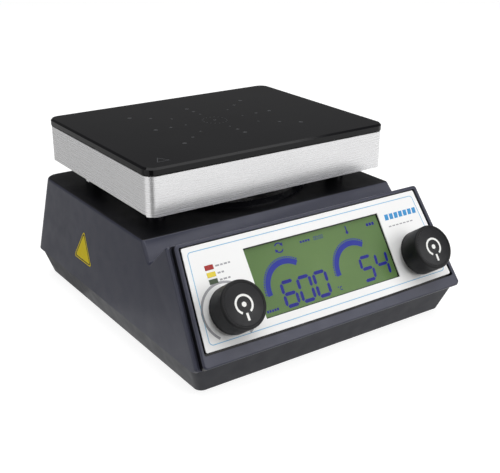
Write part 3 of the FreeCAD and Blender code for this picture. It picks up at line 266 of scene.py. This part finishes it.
def display_face():
    """Reflective display: grey green, lighter towards the middle, with a faint fine mottle."""
    finish = Finish("display_green", (0.105, 0.200, 0.052), 0.4, Specular_IOR_Level=0.2)
    low, high = panel_extent("lcd_glass")
    centre = on_panel((low[0] + high[0]) / 2, (low[1] + high[1]) / 2, high[2])
    place = finish.nodes.new("ShaderNodeTexCoord")
    offset = finish.nodes.new("ShaderNodeVectorMath")
    offset.operation = "DISTANCE"
    offset.inputs[1].default_value = centre
    finish.links.new(place.outputs["Object"], offset.inputs[0])
    half = (high[0] - low[0]) / 2 * MM
    fade = finish.spread(offset.outputs["Value"], 0.7, 0.3, half * 0.1, half * 1.15)
    finish.tint(fade, (0.140, 0.245, 0.072), 1.0)
    finish.tint(finish.noise(0.28, 1.0), (0.090, 0.140, 0.075), 0.25)
    finish.vary_roughness(finish.noise(8.0, 2.0), 0.04)
    finish.bump(finish.noise(0.3, 1.0), 0.002)
    return finish.material


def clear_window():
    """Clear cover over the display, with a slight anti-glare haze."""
    finish = Finish("window_clear", (0.03, 0.04, 0.03), 0.16, Alpha=0.04, Specular_IOR_Level=0.3)
    finish.vary_roughness(finish.noise(6.0, 2.0), 0.03)
    finish.bump(finish.noise(0.6, 1.0), 0.002)
    return finish.material


def fibre():
    """Pressed mineral fibre."""
    finish = Finish("mineral_fibre", (0.56, 0.52, 0.44), 0.95)
    finish.tint(finish.noise(2.0, 4.0, (1, 1, 3)), (0.36, 0.31, 0.24), 0.8)
    finish.bump(finish.noise(0.8, 4.0), 0.4)
    return finish.material


def laminate():
    """Green circuit board with faint tracks."""
    finish = Finish("board_green", (0.012, 0.085, 0.032), 0.35)
    finish.tint(finish.noise(1.6, 1.0, (1, 5, 1)), (0.03, 0.16, 0.06), 0.8)
    finish.vary_roughness(finish.noise(3.0, 2.0), 0.06)
    finish.bump(finish.noise(1.2, 1.0), 0.03)
    return finish.material


def cast_metal(name, color, roughness):
    """Cast or machined metal with a fine uneven skin."""
    finish = Finish(name, color, roughness, Metallic=1.0)
    finish.tint(finish.noise(5.0, 3.0), [c * 0.8 for c in color], 0.6)
    finish.vary_roughness(finish.noise(1.2, 3.0), 0.08)
    finish.bump(finish.noise(0.5, 2.0), 0.015)
    return finish.material


def wound_copper():
    """Copper with the ridges of its windings."""
    finish = Finish("wound_copper", (0.58, 0.24, 0.10), 0.3, Metallic=1.0)
    finish.tint(finish.noise(0.5, 2.0, (1, 1, 4)), (0.34, 0.12, 0.05), 0.8)
    finish.vary_roughness(finish.noise(0.8, 2.0), 0.08)
    finish.bump(finish.noise(0.4, 1.0, (1, 1, 5)), 0.06)
    return finish.material


def clear_tube():
    finish = Finish("fuse_tube", (0.82, 0.86, 0.86), 0.08, Alpha=0.45)
    finish.vary_roughness(finish.noise(2.0, 2.0), 0.03)
    finish.bump(finish.noise(1.0, 1.0), 0.004)
    return finish.material


SLATE = (0.042, 0.044, 0.066)
PAINT = housing_enamel()
# painted shade: the base tray wears the housing's slate enamel made darker, standing in for the shade on the
# undercut tray
SLATE_PAINTED_SHADE = enamel("slate_enamel_painted_shade", (0.013, 0.014, 0.020), 0.55).material
PAINT_DARK = enamel("black_enamel", (0.006, 0.006, 0.008), 0.26).material
STEEL = brushed("brushed_steel", (0.76, 0.76, 0.765), 0.27, (0.012, 0.012, 1.0), 0.6)
SHEET = brushed("sheet_steel", (0.50, 0.50, 0.50), 0.36, (0.02, 1.0, 1.0))
GLASS = ceramic_glass()
KNOB = moulded("knob_black", (0.0035, 0.0035, 0.0042), 0.46, 0.35, 0.01)
KNOB_FACE = moulded("knob_face_black", (0.010, 0.010, 0.0115), 0.40, 0.3, 0.008)
BLACK = moulded("moulded_black", (0.011, 0.011, 0.013), 0.42)
RUBBER = moulded("foot_rubber", (0.014, 0.014, 0.014), 0.75, 0.8, 0.03)
SILICONE = moulded("silicone", (0.010, 0.010, 0.011), 0.55, 0.7, 0.02)
WHITE_FILM = film("overlay_white", (0.900, 0.900, 0.895))
YELLOW_FILM = film("label_yellow", (0.900, 0.700, 0.008), 0.6)
SILVER_FILM = film("label_silver", (0.56, 0.57, 0.58), 0.34)
INK_BLUE = ink("ink_blue", (0.045, 0.270, 0.560))
INK_PALE = ink("ink_pale_blue", (0.210, 0.440, 0.640))
INK_GREY = ink("ink_grey", (0.330, 0.330, 0.345))
INK_BLACK = ink("ink_black", (0.012, 0.012, 0.013))
INK_WHITE = ink("ink_white", (0.780, 0.780, 0.760))
INK_DOT = ink("ink_dot", (0.050, 0.051, 0.055), 0.35)
SEGMENT = ink("segment_blue", (0.004, 0.005, 0.230), 0.45)
GAUGE = ink("gauge_blue", (0.010, 0.022, 0.300), 0.45)
ZINC = cast_metal("zinc_plate", (0.46, 0.47, 0.46), 0.34)
ALLOY = cast_metal("cast_alloy", (0.52, 0.53, 0.54), 0.46)
PLATED = cast_metal("plated_steel", (0.60, 0.60, 0.61), 0.24)
PROBE_STEEL = cast_metal("probe_steel", (0.55, 0.55, 0.55), 0.28)

LOOKS = {
    "housing_shell": PAINT, "front_bezel": bezel_enamel(), "base_tray": SLATE_PAINTED_SHADE, "deck_shield": PAINT_DARK,
    "plate_skirt": STEEL, "insulation_pan": SHEET, "rear_panel": SHEET, "glass_plate": GLASS,
    "glass_gasket": SILICONE, "deck_grommet": SILICONE, "heater_leads": SILICONE, "rubber_feet": RUBBER,
    "panel_overlay": WHITE_FILM, "lcd_window": clear_window(), "lcd_glass": display_face(),
    "led_red": moulded("lens_red", (0.330, 0.018, 0.016), 0.22, 0.6, 0.004),
    "led_yellow": moulded("lens_yellow", (0.700, 0.560, 0.045), 0.22, 0.6, 0.004),
    "led_green": moulded("lens_green", (0.035, 0.060, 0.026), 0.22, 0.6, 0.004),
    "lcd_frame": BLACK, "mains_inlet": BLACK, "fuse_drawer": BLACK, "switch_frame": BLACK,
    "switch_rocker": KNOB_FACE, "probe_socket": BLACK,
    "speed_encoder_body": BLACK, "heat_encoder_body": BLACK,
    "plate_posts": PAINT_DARK, "control_board": laminate(), "power_board": laminate(),
    "insulation_pad": fibre(), "heater_plate": moulded("mica", (0.30, 0.24, 0.15), 0.5, 1.5, 0.03),
    "heater_track": wound_copper(), "motor_coils": wound_copper(), "fuses": clear_tube(),
    "motor_bracket": ZINC, "rotor_bell": ZINC, "transformer": ZINC, "motor_stator": ZINC,
    "bearing_tube": ALLOY, "magnet_carrier": ALLOY, "heat_sink": ALLOY, "rod_bush": PLATED,
    "plate_probe": PROBE_STEEL,
}


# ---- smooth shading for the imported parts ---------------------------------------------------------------
def smoothing_group(limit=math.radians(32)):
    """Node group that joins split corners and shades smooth across gentle angles only."""
    group = bpy.data.node_groups.new("smooth_gentle_angles", "GeometryNodeTree")
    group.interface.new_socket("Geometry", in_out="INPUT", socket_type="NodeSocketGeometry")
    group.interface.new_socket("Geometry", in_out="OUTPUT", socket_type="NodeSocketGeometry")
    nodes, links = group.nodes, group.links
    source, sink = nodes.new("NodeGroupInput"), nodes.new("NodeGroupOutput")
    weld = nodes.new("GeometryNodeMergeByDistance")
    weld.inputs["Distance"].default_value = 0.002 * MM
    faces = nodes.new("GeometryNodeSetShadeSmooth")
    edges = nodes.new("GeometryNodeSetShadeSmooth")
    edges.domain = "EDGE"
    edges.inputs["Shade Smooth"].default_value = False
    angle = nodes.new("GeometryNodeInputMeshEdgeAngle")
    sharp = nodes.new("FunctionNodeCompare")
    sharp.inputs["B"].default_value = limit
    links.new(source.outputs[0], weld.inputs["Geometry"])
    links.new(weld.outputs["Geometry"], faces.inputs["Geometry"])
    links.new(faces.outputs["Geometry"], edges.inputs["Geometry"])
    links.new(angle.outputs["Unsigned Angle"], sharp.inputs["A"])
    links.new(sharp.outputs["Result"], edges.inputs["Selection"])
    links.new(edges.outputs["Geometry"], sink.inputs[0])
    return group


SMOOTH = smoothing_group()


def dress(obj, material):
    obj.data.materials.clear()
    obj.data.materials.append(material)
    for polygon in obj.data.polygons:
        polygon.material_index = 0


for node_name, node in NODES.items():
    dress(node, LOOKS.get(node_name, PLATED))
    node.modifiers.new("smooth", "NODES").node_group = SMOOTH


# ---- mesh building -------------------------------------------------------------------------------------
def finish_mesh(name, mesh_data, material, body, sharp=32):
    mesh = bpy.data.meshes.new(name)
    mesh_data.normal_update()
    bmesh.ops.recalc_face_normals(mesh_data, faces=mesh_data.faces)
    mesh_data.to_mesh(mesh)
    mesh_data.free()
    mesh.polygons.foreach_set("use_smooth", [True] * len(mesh.polygons))
    mesh.set_sharp_from_angle(angle=math.radians(sharp))
    mesh.materials.append(material)
    obj = bpy.data.objects.new(name, mesh)
    bpy.context.scene.collection.objects.link(obj)
    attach(obj, body)
    return obj


def add_plate(mesh_data, outline, place, low, high):
    """Closed prism over a flat outline, between two heights above its plane."""
    bottom = [mesh_data.verts.new(place(x, y, low)) for x, y in outline]
    top = [mesh_data.verts.new(place(x, y, high)) for x, y in outline]
    mesh_data.faces.new(list(reversed(bottom)))
    mesh_data.faces.new(top)
    count = len(outline)
    for i in range(count):
        j = (i + 1) % count
        mesh_data.faces.new((bottom[i], bottom[j], top[j], top[i]))


def add_loop(mesh_data, outer, inner, place, low, high):
    """Closed ring between two outlines with the same number of points."""
    rings = [[mesh_data.verts.new(place(x, y, h)) for x, y in line]
             for line, h in ((outer, low), (outer, high), (inner, high), (inner, low))]
    count = len(outer)
    for ring, after in zip(rings, rings[1:] + rings[:1]):
        for i in range(count):
            j = (i + 1) % count
            mesh_data.faces.new((ring[i], ring[j], after[j], after[i]))


def printed(name, outlines, place, base, material, rings=(), body=ROOT, thick=PRINT):
    """One piece of printing made of flat outlines and rings, lying on height base."""
    mesh_data = bmesh.new()
    for outline in outlines:
        add_plate(mesh_data, outline, place, base, base + thick)
    for outer, inner in rings:
        add_loop(mesh_data, outer, inner, place, base, base + thick)
    return finish_mesh(name, mesh_data, material, body)


def bar(x, y, width, height):
    return [(x - width / 2, y - height / 2), (x + width / 2, y - height / 2),
            (x + width / 2, y + height / 2), (x - width / 2, y + height / 2)]


def disc(x, y, radius, count=24):
    return [(x + radius * math.cos(a), y + radius * math.sin(a))
            for a in (i * math.tau / count for i in range(count))]


def arc_band(x, y, inner, outer, start, end, count=40):
    """Band along an arc, from start to end degrees."""
    angles = [math.radians(start + (end - start) * i / count) for i in range(count + 1)]
    return ([(x + outer * math.cos(a), y + outer * math.sin(a)) for a in angles]
            + [(x + inner * math.cos(a), y + inner * math.sin(a)) for a in reversed(angles)])


def round_corners(points, radius, steps=6):
    """Convex outline with its corners rounded."""
    result = []
    count = len(points)
    for i in range(count):
        corner = Vector(points[i])
        to_last = (Vector(points[i - 1]) - corner).normalized()
        to_next = (Vector(points[(i + 1) % count]) - corner).normalized()
        half = to_last.angle(to_next) / 2
        centre = corner + (to_last + to_next).normalized() * (radius / math.sin(half))
        first = corner + to_last * (radius / math.tan(half)) - centre
        last = corner + to_next * (radius / math.tan(half)) - centre
        for k in range(steps + 1):
            spoke = first.lerp(last, k / steps).normalized() * radius
            result.append(tuple(centre + spoke))
    return result


def shrink(points, distance):
    """Convex counter-clockwise outline moved inwards."""
    count = len(points)
    result = []
    for i in range(count):
        before, here, after = (Vector(points[i - 1]), Vector(points[i]), Vector(points[(i + 1) % count]))
        a, b = (here - before).normalized(), (after - here).normalized()
        inward = Vector((-a.y, a.x)) + Vector((-b.y, b.x))
        inward.normalize()
        cosine = inward.dot(Vector((-a.y, a.x)))
        result.append(tuple(here + inward * (distance / cosine)))
    return result


# ---- seven-segment figures -----------------------------------------------------------------------------
LIT = {"0": "abcdef", "4": "bcfg", "5": "acdfg", "6": "acdefg"}


def figure(digit, x, y, width, height, stroke, slant):
    """Outlines of the lit segments. x, y is the figure's lower left corner."""
    mid, gap = height / 2, stroke * 0.16
    ends = {"a": ((0, height), (width, height)), "d": ((0, 0), (width, 0)), "g": ((0, mid), (width, mid)),
            "f": ((0, mid), (0, height)), "b": ((width, mid), (width, height)),
            "e": ((0, 0), (0, mid)), "c": ((width, 0), (width, mid))}
    outlines = []
    for key in LIT[digit]:
        start, end = (Vector(p) for p in ends[key])
        along = (end - start).normalized()
        side = Vector((-along.y, along.x)) * stroke / 2
        start, end = start + along * gap, end - along * gap
        tip = along * stroke / 2
        points = [start, start + tip + side, end - tip + side, end, end - tip - side, start + tip - side]
        outlines.append([(x + p.x + slant * p.y, y + p.y) for p in points])
    return outlines


# ---- display -------------------------------------------------------------------------------------------
def gauge_parts(x, y):
    """Curved gauge: a solid band with an outer row of ticks."""
    band = arc_band(x, y, 14.1, 17.6, 54, 187)
    ticks = [arc_band(x, y, 17.9, 18.7, a, a + 3.4, 4) for a in range(56, 186, 5)]
    return [band] + ticks


def stir_sign(x, y):
    """Two curved arrows chasing each other round a circle."""
    parts = []
    for turn in (0, 180):
        parts.append(arc_band(x, y, 2.5, 3.3, turn + 40, turn + 150, 14))
        a = math.radians(turn + 28)
        out, along = Vector((math.cos(a), math.sin(a))), Vector((math.sin(a), -math.cos(a)))
        tip = Vector((x, y)) + out * 2.9 + along * 1.1
        root = Vector((x, y)) + out * 2.9 - along * 0.9
        parts.append([tuple(tip), tuple(root + out * 1.3), tuple(root - out * 1.3)])
    return parts


def thermometer_sign(x, y):
    return [disc(x, y - 1.7, 1.05, 16), bar(x, y + 0.6, 0.9, 3.8)]


def display():
    low, high = panel_extent("lcd_glass")
    x0, t0 = (low[0] + high[0]) / 2, (low[1] + high[1]) / 2
    top = high[2]

    def place(x, t, h):
        return on_panel(x0 + x, t0 + t, h)

    figures = []
    for i, digit in enumerate("600"):
        figures += figure(digit, -35.0 + 12.1 * i, -18.6, 8.8, 14.6, 2.15, 0.04)
    for i, digit in enumerate("54"):
        figures += figure(digit, 26.0 + 12.6 * i, -17.9, 8.6, 14.8, 2.05, 0.08)
    printed("display_figures", figures, place, top, SEGMENT)
    gauges = gauge_parts(-28.0, -7.6) + gauge_parts(24.0, -8.0)
    printed("display_gauges", gauges, place, top, GAUGE)
    signs = stir_sign(-27.2, 16.8) + thermometer_sign(25.2, 16.6)
    for i, digit in enumerate("0000"):
        signs += figure(digit, -0.8 + 1.7 * i + (0.8 if i > 1 else 0), 15.7, 1.1, 2.0, 0.34, 0.05)
    signs += [disc(2.65, 16.3, 0.22, 8), disc(2.65, 17.2, 0.22, 8)]
    signs += [bar(-6.8 + dx, 16.7, 1.5, 1.3) for dx in (-3.9, -1.9, 0.1, 2.1)]
    signs += [bar(44.8 + dx, 16.2, 1.8, 1.9) for dx in (-2.3, 0.0, 2.3)]
    signs += [bar(-45.6 + dx, -18.0, 1.3, 1.5) for dx in (-3.6, -1.8, 0.0, 1.8, 3.6)]
    signs += [arc_band(6.6, -17.4, 0.75, 1.25, 50, 310, 14), disc(4.4, -16.3, 0.45, 10)]
    printed("display_signs", signs, place, top, SEGMENT)
    edge = [(low[0] - x0, low[1] - t0), (high[0] - x0, low[1] - t0),
            (high[0] - x0, high[1] - t0), (low[0] - x0, high[1] - t0)]
    printed("display_edge", [], place, top, INK_BLACK, rings=[(edge, shrink(edge, 0.55))])


display()


# ---- printing on the overlay ---------------------------------------------------------------------------
def overlay_corners():
    """The overlay's four corners in panel coordinates, from its own vertices, lower left first."""
    _, high = panel_extent("panel_overlay")
    places = []
    for v in NODES["panel_overlay"].data.vertices:
        d = v.co - PANEL_ORIGIN
        places.append((d.dot(PANEL_X) / MM, d.dot(PANEL_T) / MM))
    top = max(t for _, t in places)
    wide_top = max(x for x, t in places if t > top - 1.2)
    wide_low = max(x for x, _ in places)
    low = min(t for x, t in places if abs(x) > wide_low - 2.5)
    return [(-wide_low, low), (wide_low, low), (wide_top, top), (-wide_top, top)], high[2]


def panel_printing():
    corners, top = overlay_corners()
    line = shrink(corners, 3.0)
    outer = round_corners(line, 2.6)
    inner = round_corners(shrink(line, 0.5), 2.1)
    printed("overlay_border", [], on_panel, top, INK_PALE, rings=[(outer, inner)])
    right = corners[2][0]
    top_line = corners[2][1]
    emblem = [[(right - 31.0 + i * 4.0, top_line - 15.0), (right - 28.0 + i * 4.0, top_line - 15.0),
               (right - 27.6 + i * 4.0, top_line - 11.2), (right - 30.6 + i * 4.0, top_line - 11.2)]
              for i in range(7)]
    printed("overlay_blue_blocks", emblem, on_panel, top, INK_BLUE)
    marks = [bar(right - 29.0 + i * 3.1, top_line - 19.4, 2.2, 0.75) for i in range(7)]
    captions = {"led_red": (2.6, 1.8, 2.2, 1.4), "led_yellow": (2.0, 1.6), "led_green": (1.8, 2.4, 1.6)}
    for lamp, lengths in captions.items():
        low, high = panel_extent(lamp)
        t = (low[1] + high[1]) / 2
        x = high[0] + 1.4
        for length in lengths:
            marks.append(bar(x + length / 2, t, length, 1.0))
            x += length + 0.7
    printed("overlay_grey_marks", marks, on_panel, top, INK_GREY)
    scale = [arc_band(-KNOB_X, 0, 16.4, 17.9, 300, 590, 90)]
    printed("overlay_dial_arc", scale, on_panel, top, INK_GREY)


panel_printing()


# ---- knobs ---------------------------------------------------------------------------------------------
FACE_DEPTH = 0.28                     # the knob face lies this far below its rim


def knob_profile(low, high, radius):
    """Half section of the knob, from its axis at the back to its axis at the front.

    It has a shallow skirt, a straight grip, a rounded rim and a face set a little below it.
    """
    rim = 1.3
    profile = [(0, low + 9.0), (radius - 2.4, low + 9.0), (radius - 2.4, low), (radius - 0.5, low),
               (radius, low + 0.5), (radius, low + 1.6), (radius - 0.18, low + 1.8),
               (radius - 0.18, low + 2.2), (radius, low + 2.4)]
    for i in range(9):
        a = math.radians(90 * i / 8)
        profile.append((radius - rim + rim * math.cos(a), high - rim + rim * math.sin(a)))
    profile += [(radius - rim - 0.5, high), (radius - rim - 0.75, high - FACE_DEPTH), (0, high - FACE_DEPTH)]
    return profile


def lathe(name, profile, place, material, body, count=128):
    mesh_data = bmesh.new()
    rings = []
    for r, h in profile:
        if r == 0:
            rings.append([mesh_data.verts.new(place(0, 0, h))])
            continue
        rings.append([mesh_data.verts.new(place(r * math.cos(a), r * math.sin(a), h))
                      for a in (i * math.tau / count for i in range(count))])
    for ring, after in zip(rings, rings[1:]):
        for i in range(count):
            j = (i + 1) % count
            loop = [ring[i % len(ring)], ring[j % len(ring)], after[j % len(after)], after[i % len(after)]]
            kept = [v for k, v in enumerate(loop) if v is not loop[k - 1]]
            mesh_data.faces.new(kept)
    return finish_mesh(name, mesh_data, material, body)


def knob(name, x):
    low, high = panel_extent(f"{name}_knob")
    radius = (high[0] - low[0]) / 2

    def place(dx, dt, h):
        return on_panel(x + dx, dt, h)

    profile = knob_profile(low[2], high[2], radius)
    body = lathe(f"{name}_grip", profile, place, KNOB, f"{name}_dial")
    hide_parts(f"{name}_knob")
    face = high[2] - FACE_DEPTH
    lathe(f"{name}_grip_face", [(0, face - 0.2), (radius - 2.2, face - 0.2), (radius - 2.2, face + 0.05),
                                (radius - 2.4, face + 0.12), (0, face + 0.12)],
          place, KNOB_FACE, f"{name}_dial")
    marks = [arc_band(0, 0, 4.6, 5.9, -60, 240, 48), bar(0, -7.2, 1.5, 4.4), disc(0, 0, 1.5, 24)]
    printed(f"{name}_pointer", marks, place, face + 0.12, INK_WHITE, body=f"{name}_dial")


knob("speed", -KNOB_X)
knob("heat", KNOB_X)


# ---- printing on the glass -----------------------------------------------------------------------------
def glass_marks():
    low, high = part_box("glass_plate")
    cx, cy, top = (low.x + high.x) / 2 / MM, (low.y + high.y) / 2 / MM, high.z / MM

    def place(x, y, h):
        return Vector((cx + x, cy + y, top + h)) * MM

    rays = ((46, 37, 1.5), (34.5, 28, 1.15), (23, 19, 0.8))
    dots = [disc(0, 0, 1.1)]
    for along_x, along_y, radius in rays:
        for sx in (-1, 0, 1):
            for sy in (-1, 0, 1):
                if sx or sy:
                    dots.append(disc(sx * along_x, sy * along_y, radius))
    dots += [disc(8.5 * math.cos(a), 8.5 * math.sin(a), 0.5, 12)
             for a in (i * math.tau / 18 for i in range(18))]
    printed("glass_dots", dots, place, 0.0, INK_DOT)
    triangle = [(-80.0, -62.5), (-71.0, -62.5), (-75.5, -54.5)]
    printed("glass_triangle", [], place, 0.0, INK_DOT,
            rings=[(triangle, shrink(triangle, 0.6))])


glass_marks()


# ---- labels --------------------------------------------------------------------------------------------
def side_label():
    """Plain yellow triangle with a dark edge on the left wall, which leans inwards towards the top."""
    low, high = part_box("housing_shell")
    probe = [v.co for v in NODES["housing_shell"].data.vertices if v.co.x < 0]
    upper = min((p for p in probe if p.z > 0.070), key=lambda p: p.x + p.z * 0.2)
    lower = min((p for p in probe if p.z < 0.030), key=lambda p: p.x)
    up = Vector((upper.x - lower.x, 0, upper.z - lower.z)).normalized()
    out = Vector((-up.z, 0, up.x))
    across = Vector((0, -1, 0))
    foot = Vector((low.x, AXIS[1] + 5.6 * MM, low.z)) + up * 15.0 * MM

    def place(a, b, h):
        return foot + (across * a + up * b + out * h) * MM

    triangle = [(-13.0, 0.0), (13.0, 0.0), (0.0, 21.5)]
    outer = round_corners(triangle, 1.4)
    printed("side_label", [outer], place, 0.0, YELLOW_FILM, thick=0.08)
    ring = round_corners(shrink(triangle, 0.7), 1.1)
    printed("side_label_edge", [], place, 0.08, INK_BLACK,
            rings=[(ring, round_corners(shrink(triangle, 1.4), 0.8))])


side_label()


def rating_label():
    """Plain silver label on the rear panel."""
    low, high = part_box("rear_panel")
    back = high.y / MM

    def place(x, z, h):
        return Vector((x, back + h, z)) * MM

    middle = (low.z + high.z) / 2 / MM
    outline = round_corners(bar(52.0, middle, 18.0, 18.0), 1.5)
    printed("rating_label", [outline], place, 0.0, SILVER_FILM, thick=0.1)


rating_label()


# ---- room ----------------------------------------------------------------------------------------------
def staged(name, mesh_data, material):
    """Part of the room, which is not part of the object."""
    mesh = bpy.data.meshes.new(name)
    mesh_data.to_mesh(mesh)
    mesh_data.free()
    mesh.materials.append(material)
    obj = bpy.data.objects.new(name, mesh)
    bpy.context.scene.collection.objects.link(obj)
    return obj


def aimed(place, target):
    """Matrix at place whose -Z looks at target."""
    direction = Vector(target) - Vector(place)
    return Matrix.Translation(place) @ direction.to_track_quat("-Z", "Y").to_matrix().to_4x4()


def softbox(name, place, target, size, power):
    light = bpy.data.lights.new(name, "AREA")
    light.shape = "RECTANGLE"
    light.size, light.size_y = size
    light.energy = power
    obj = bpy.data.objects.new(name, light)
    bpy.context.scene.collection.objects.link(obj)
    obj.matrix_world = aimed(place, target)
    return obj


WHITE = (1.0, 1.0, 1.0, 1.0)
ROOM = Finish("floor_white", (0.30, 0.30, 0.30), 1.0, Emission_Color=WHITE, Emission_Strength=0.86)
ROOM.tint(ROOM.noise(300.0, 2.0), (0.29, 0.29, 0.29), 0.5)


def floor():
    mesh_data = bmesh.new()
    bmesh.ops.create_grid(mesh_data, x_segments=1, y_segments=1, size=6.0)
    obj = staged("floor", mesh_data, ROOM.material)
    obj.visible_diffuse = False


floor()

MIDDLE = (0.0, 0.0, 0.06)
softbox("top_light", (0.05, -0.15, 1.5), MIDDLE, (1.8, 1.8), 24)
softbox("front_light", (0.85, -1.45, 0.75), MIDDLE, (1.3, 1.0), 15)
softbox("left_light", (-1.6, -0.1, 0.7), MIDDLE, (1.2, 1.2), 7)


def floor_patch(name, start, end, near, far, glow):
    """Flat patch between two bearings from the skirt's front left corner. It is only seen in reflections."""
    low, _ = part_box("plate_skirt")
    mesh_data = bmesh.new()
    outline = []
    for reach, bearing in ((near, start), (far, start), (far, end), (near, end)):
        a = math.radians(bearing)
        outline.append(mesh_data.verts.new((low.x + math.cos(a) * reach, low.y + math.sin(a) * reach, 0.001)))
    mesh_data.faces.new(outline)
    finish = Finish(name, (0.02, 0.02, 0.02), 1.0, Emission_Color=WHITE, Emission_Strength=glow)
    obj = staged(name, mesh_data, finish.material)
    obj.visible_camera = obj.visible_diffuse = obj.visible_shadow = False


floor_patch("dark_patch", 212, 250, 0.12, 0.7, 0.0)
floor_patch("grey_patch", 92, 160, 0.10, 1.2, 0.54)


def backdrop():
    """Plain white wall round the room, seen by the camera only."""
    mesh_data = bmesh.new()
    bmesh.ops.create_cone(mesh_data, cap_ends=False, segments=64, radius1=5.5, radius2=5.5, depth=12.0)
    obj = staged("backdrop", mesh_data, ROOM.material)
    obj.visible_diffuse = obj.visible_glossy = obj.visible_shadow = False


backdrop()


world = bpy.data.worlds.new("studio")
bpy.context.scene.world = world
world.use_nodes = True
world.node_tree.nodes["Background"].inputs["Color"].default_value = WHITE
world.node_tree.nodes["Background"].inputs["Strength"].default_value = 0.13
bpy.context.scene.view_settings.view_transform = "Standard"

# ---- camera --------------------------------------------------------------------------------------------
YAW, PITCH, ROLL = 0.605, -0.387, 0.003
CAMERA_PLACE = Vector((AXIS[0] - 0.32252, AXIS[1] - 0.50938, 0.27875))
camera = bpy.data.cameras.new("camera")
camera.sensor_width = 36.0
camera.lens = 64.88
camera_object = bpy.data.objects.new("camera", camera)
bpy.context.scene.collection.objects.link(camera_object)
turn = Matrix.Rotation(-YAW, 4, "Z") @ Matrix.Rotation(math.pi / 2 + PITCH, 4, "X")
turn @= Matrix.Rotation(ROLL, 4, "Z")
camera_object.matrix_world = Matrix.Translation(CAMERA_PLACE) @ turn
bpy.context.scene.camera = camera_object
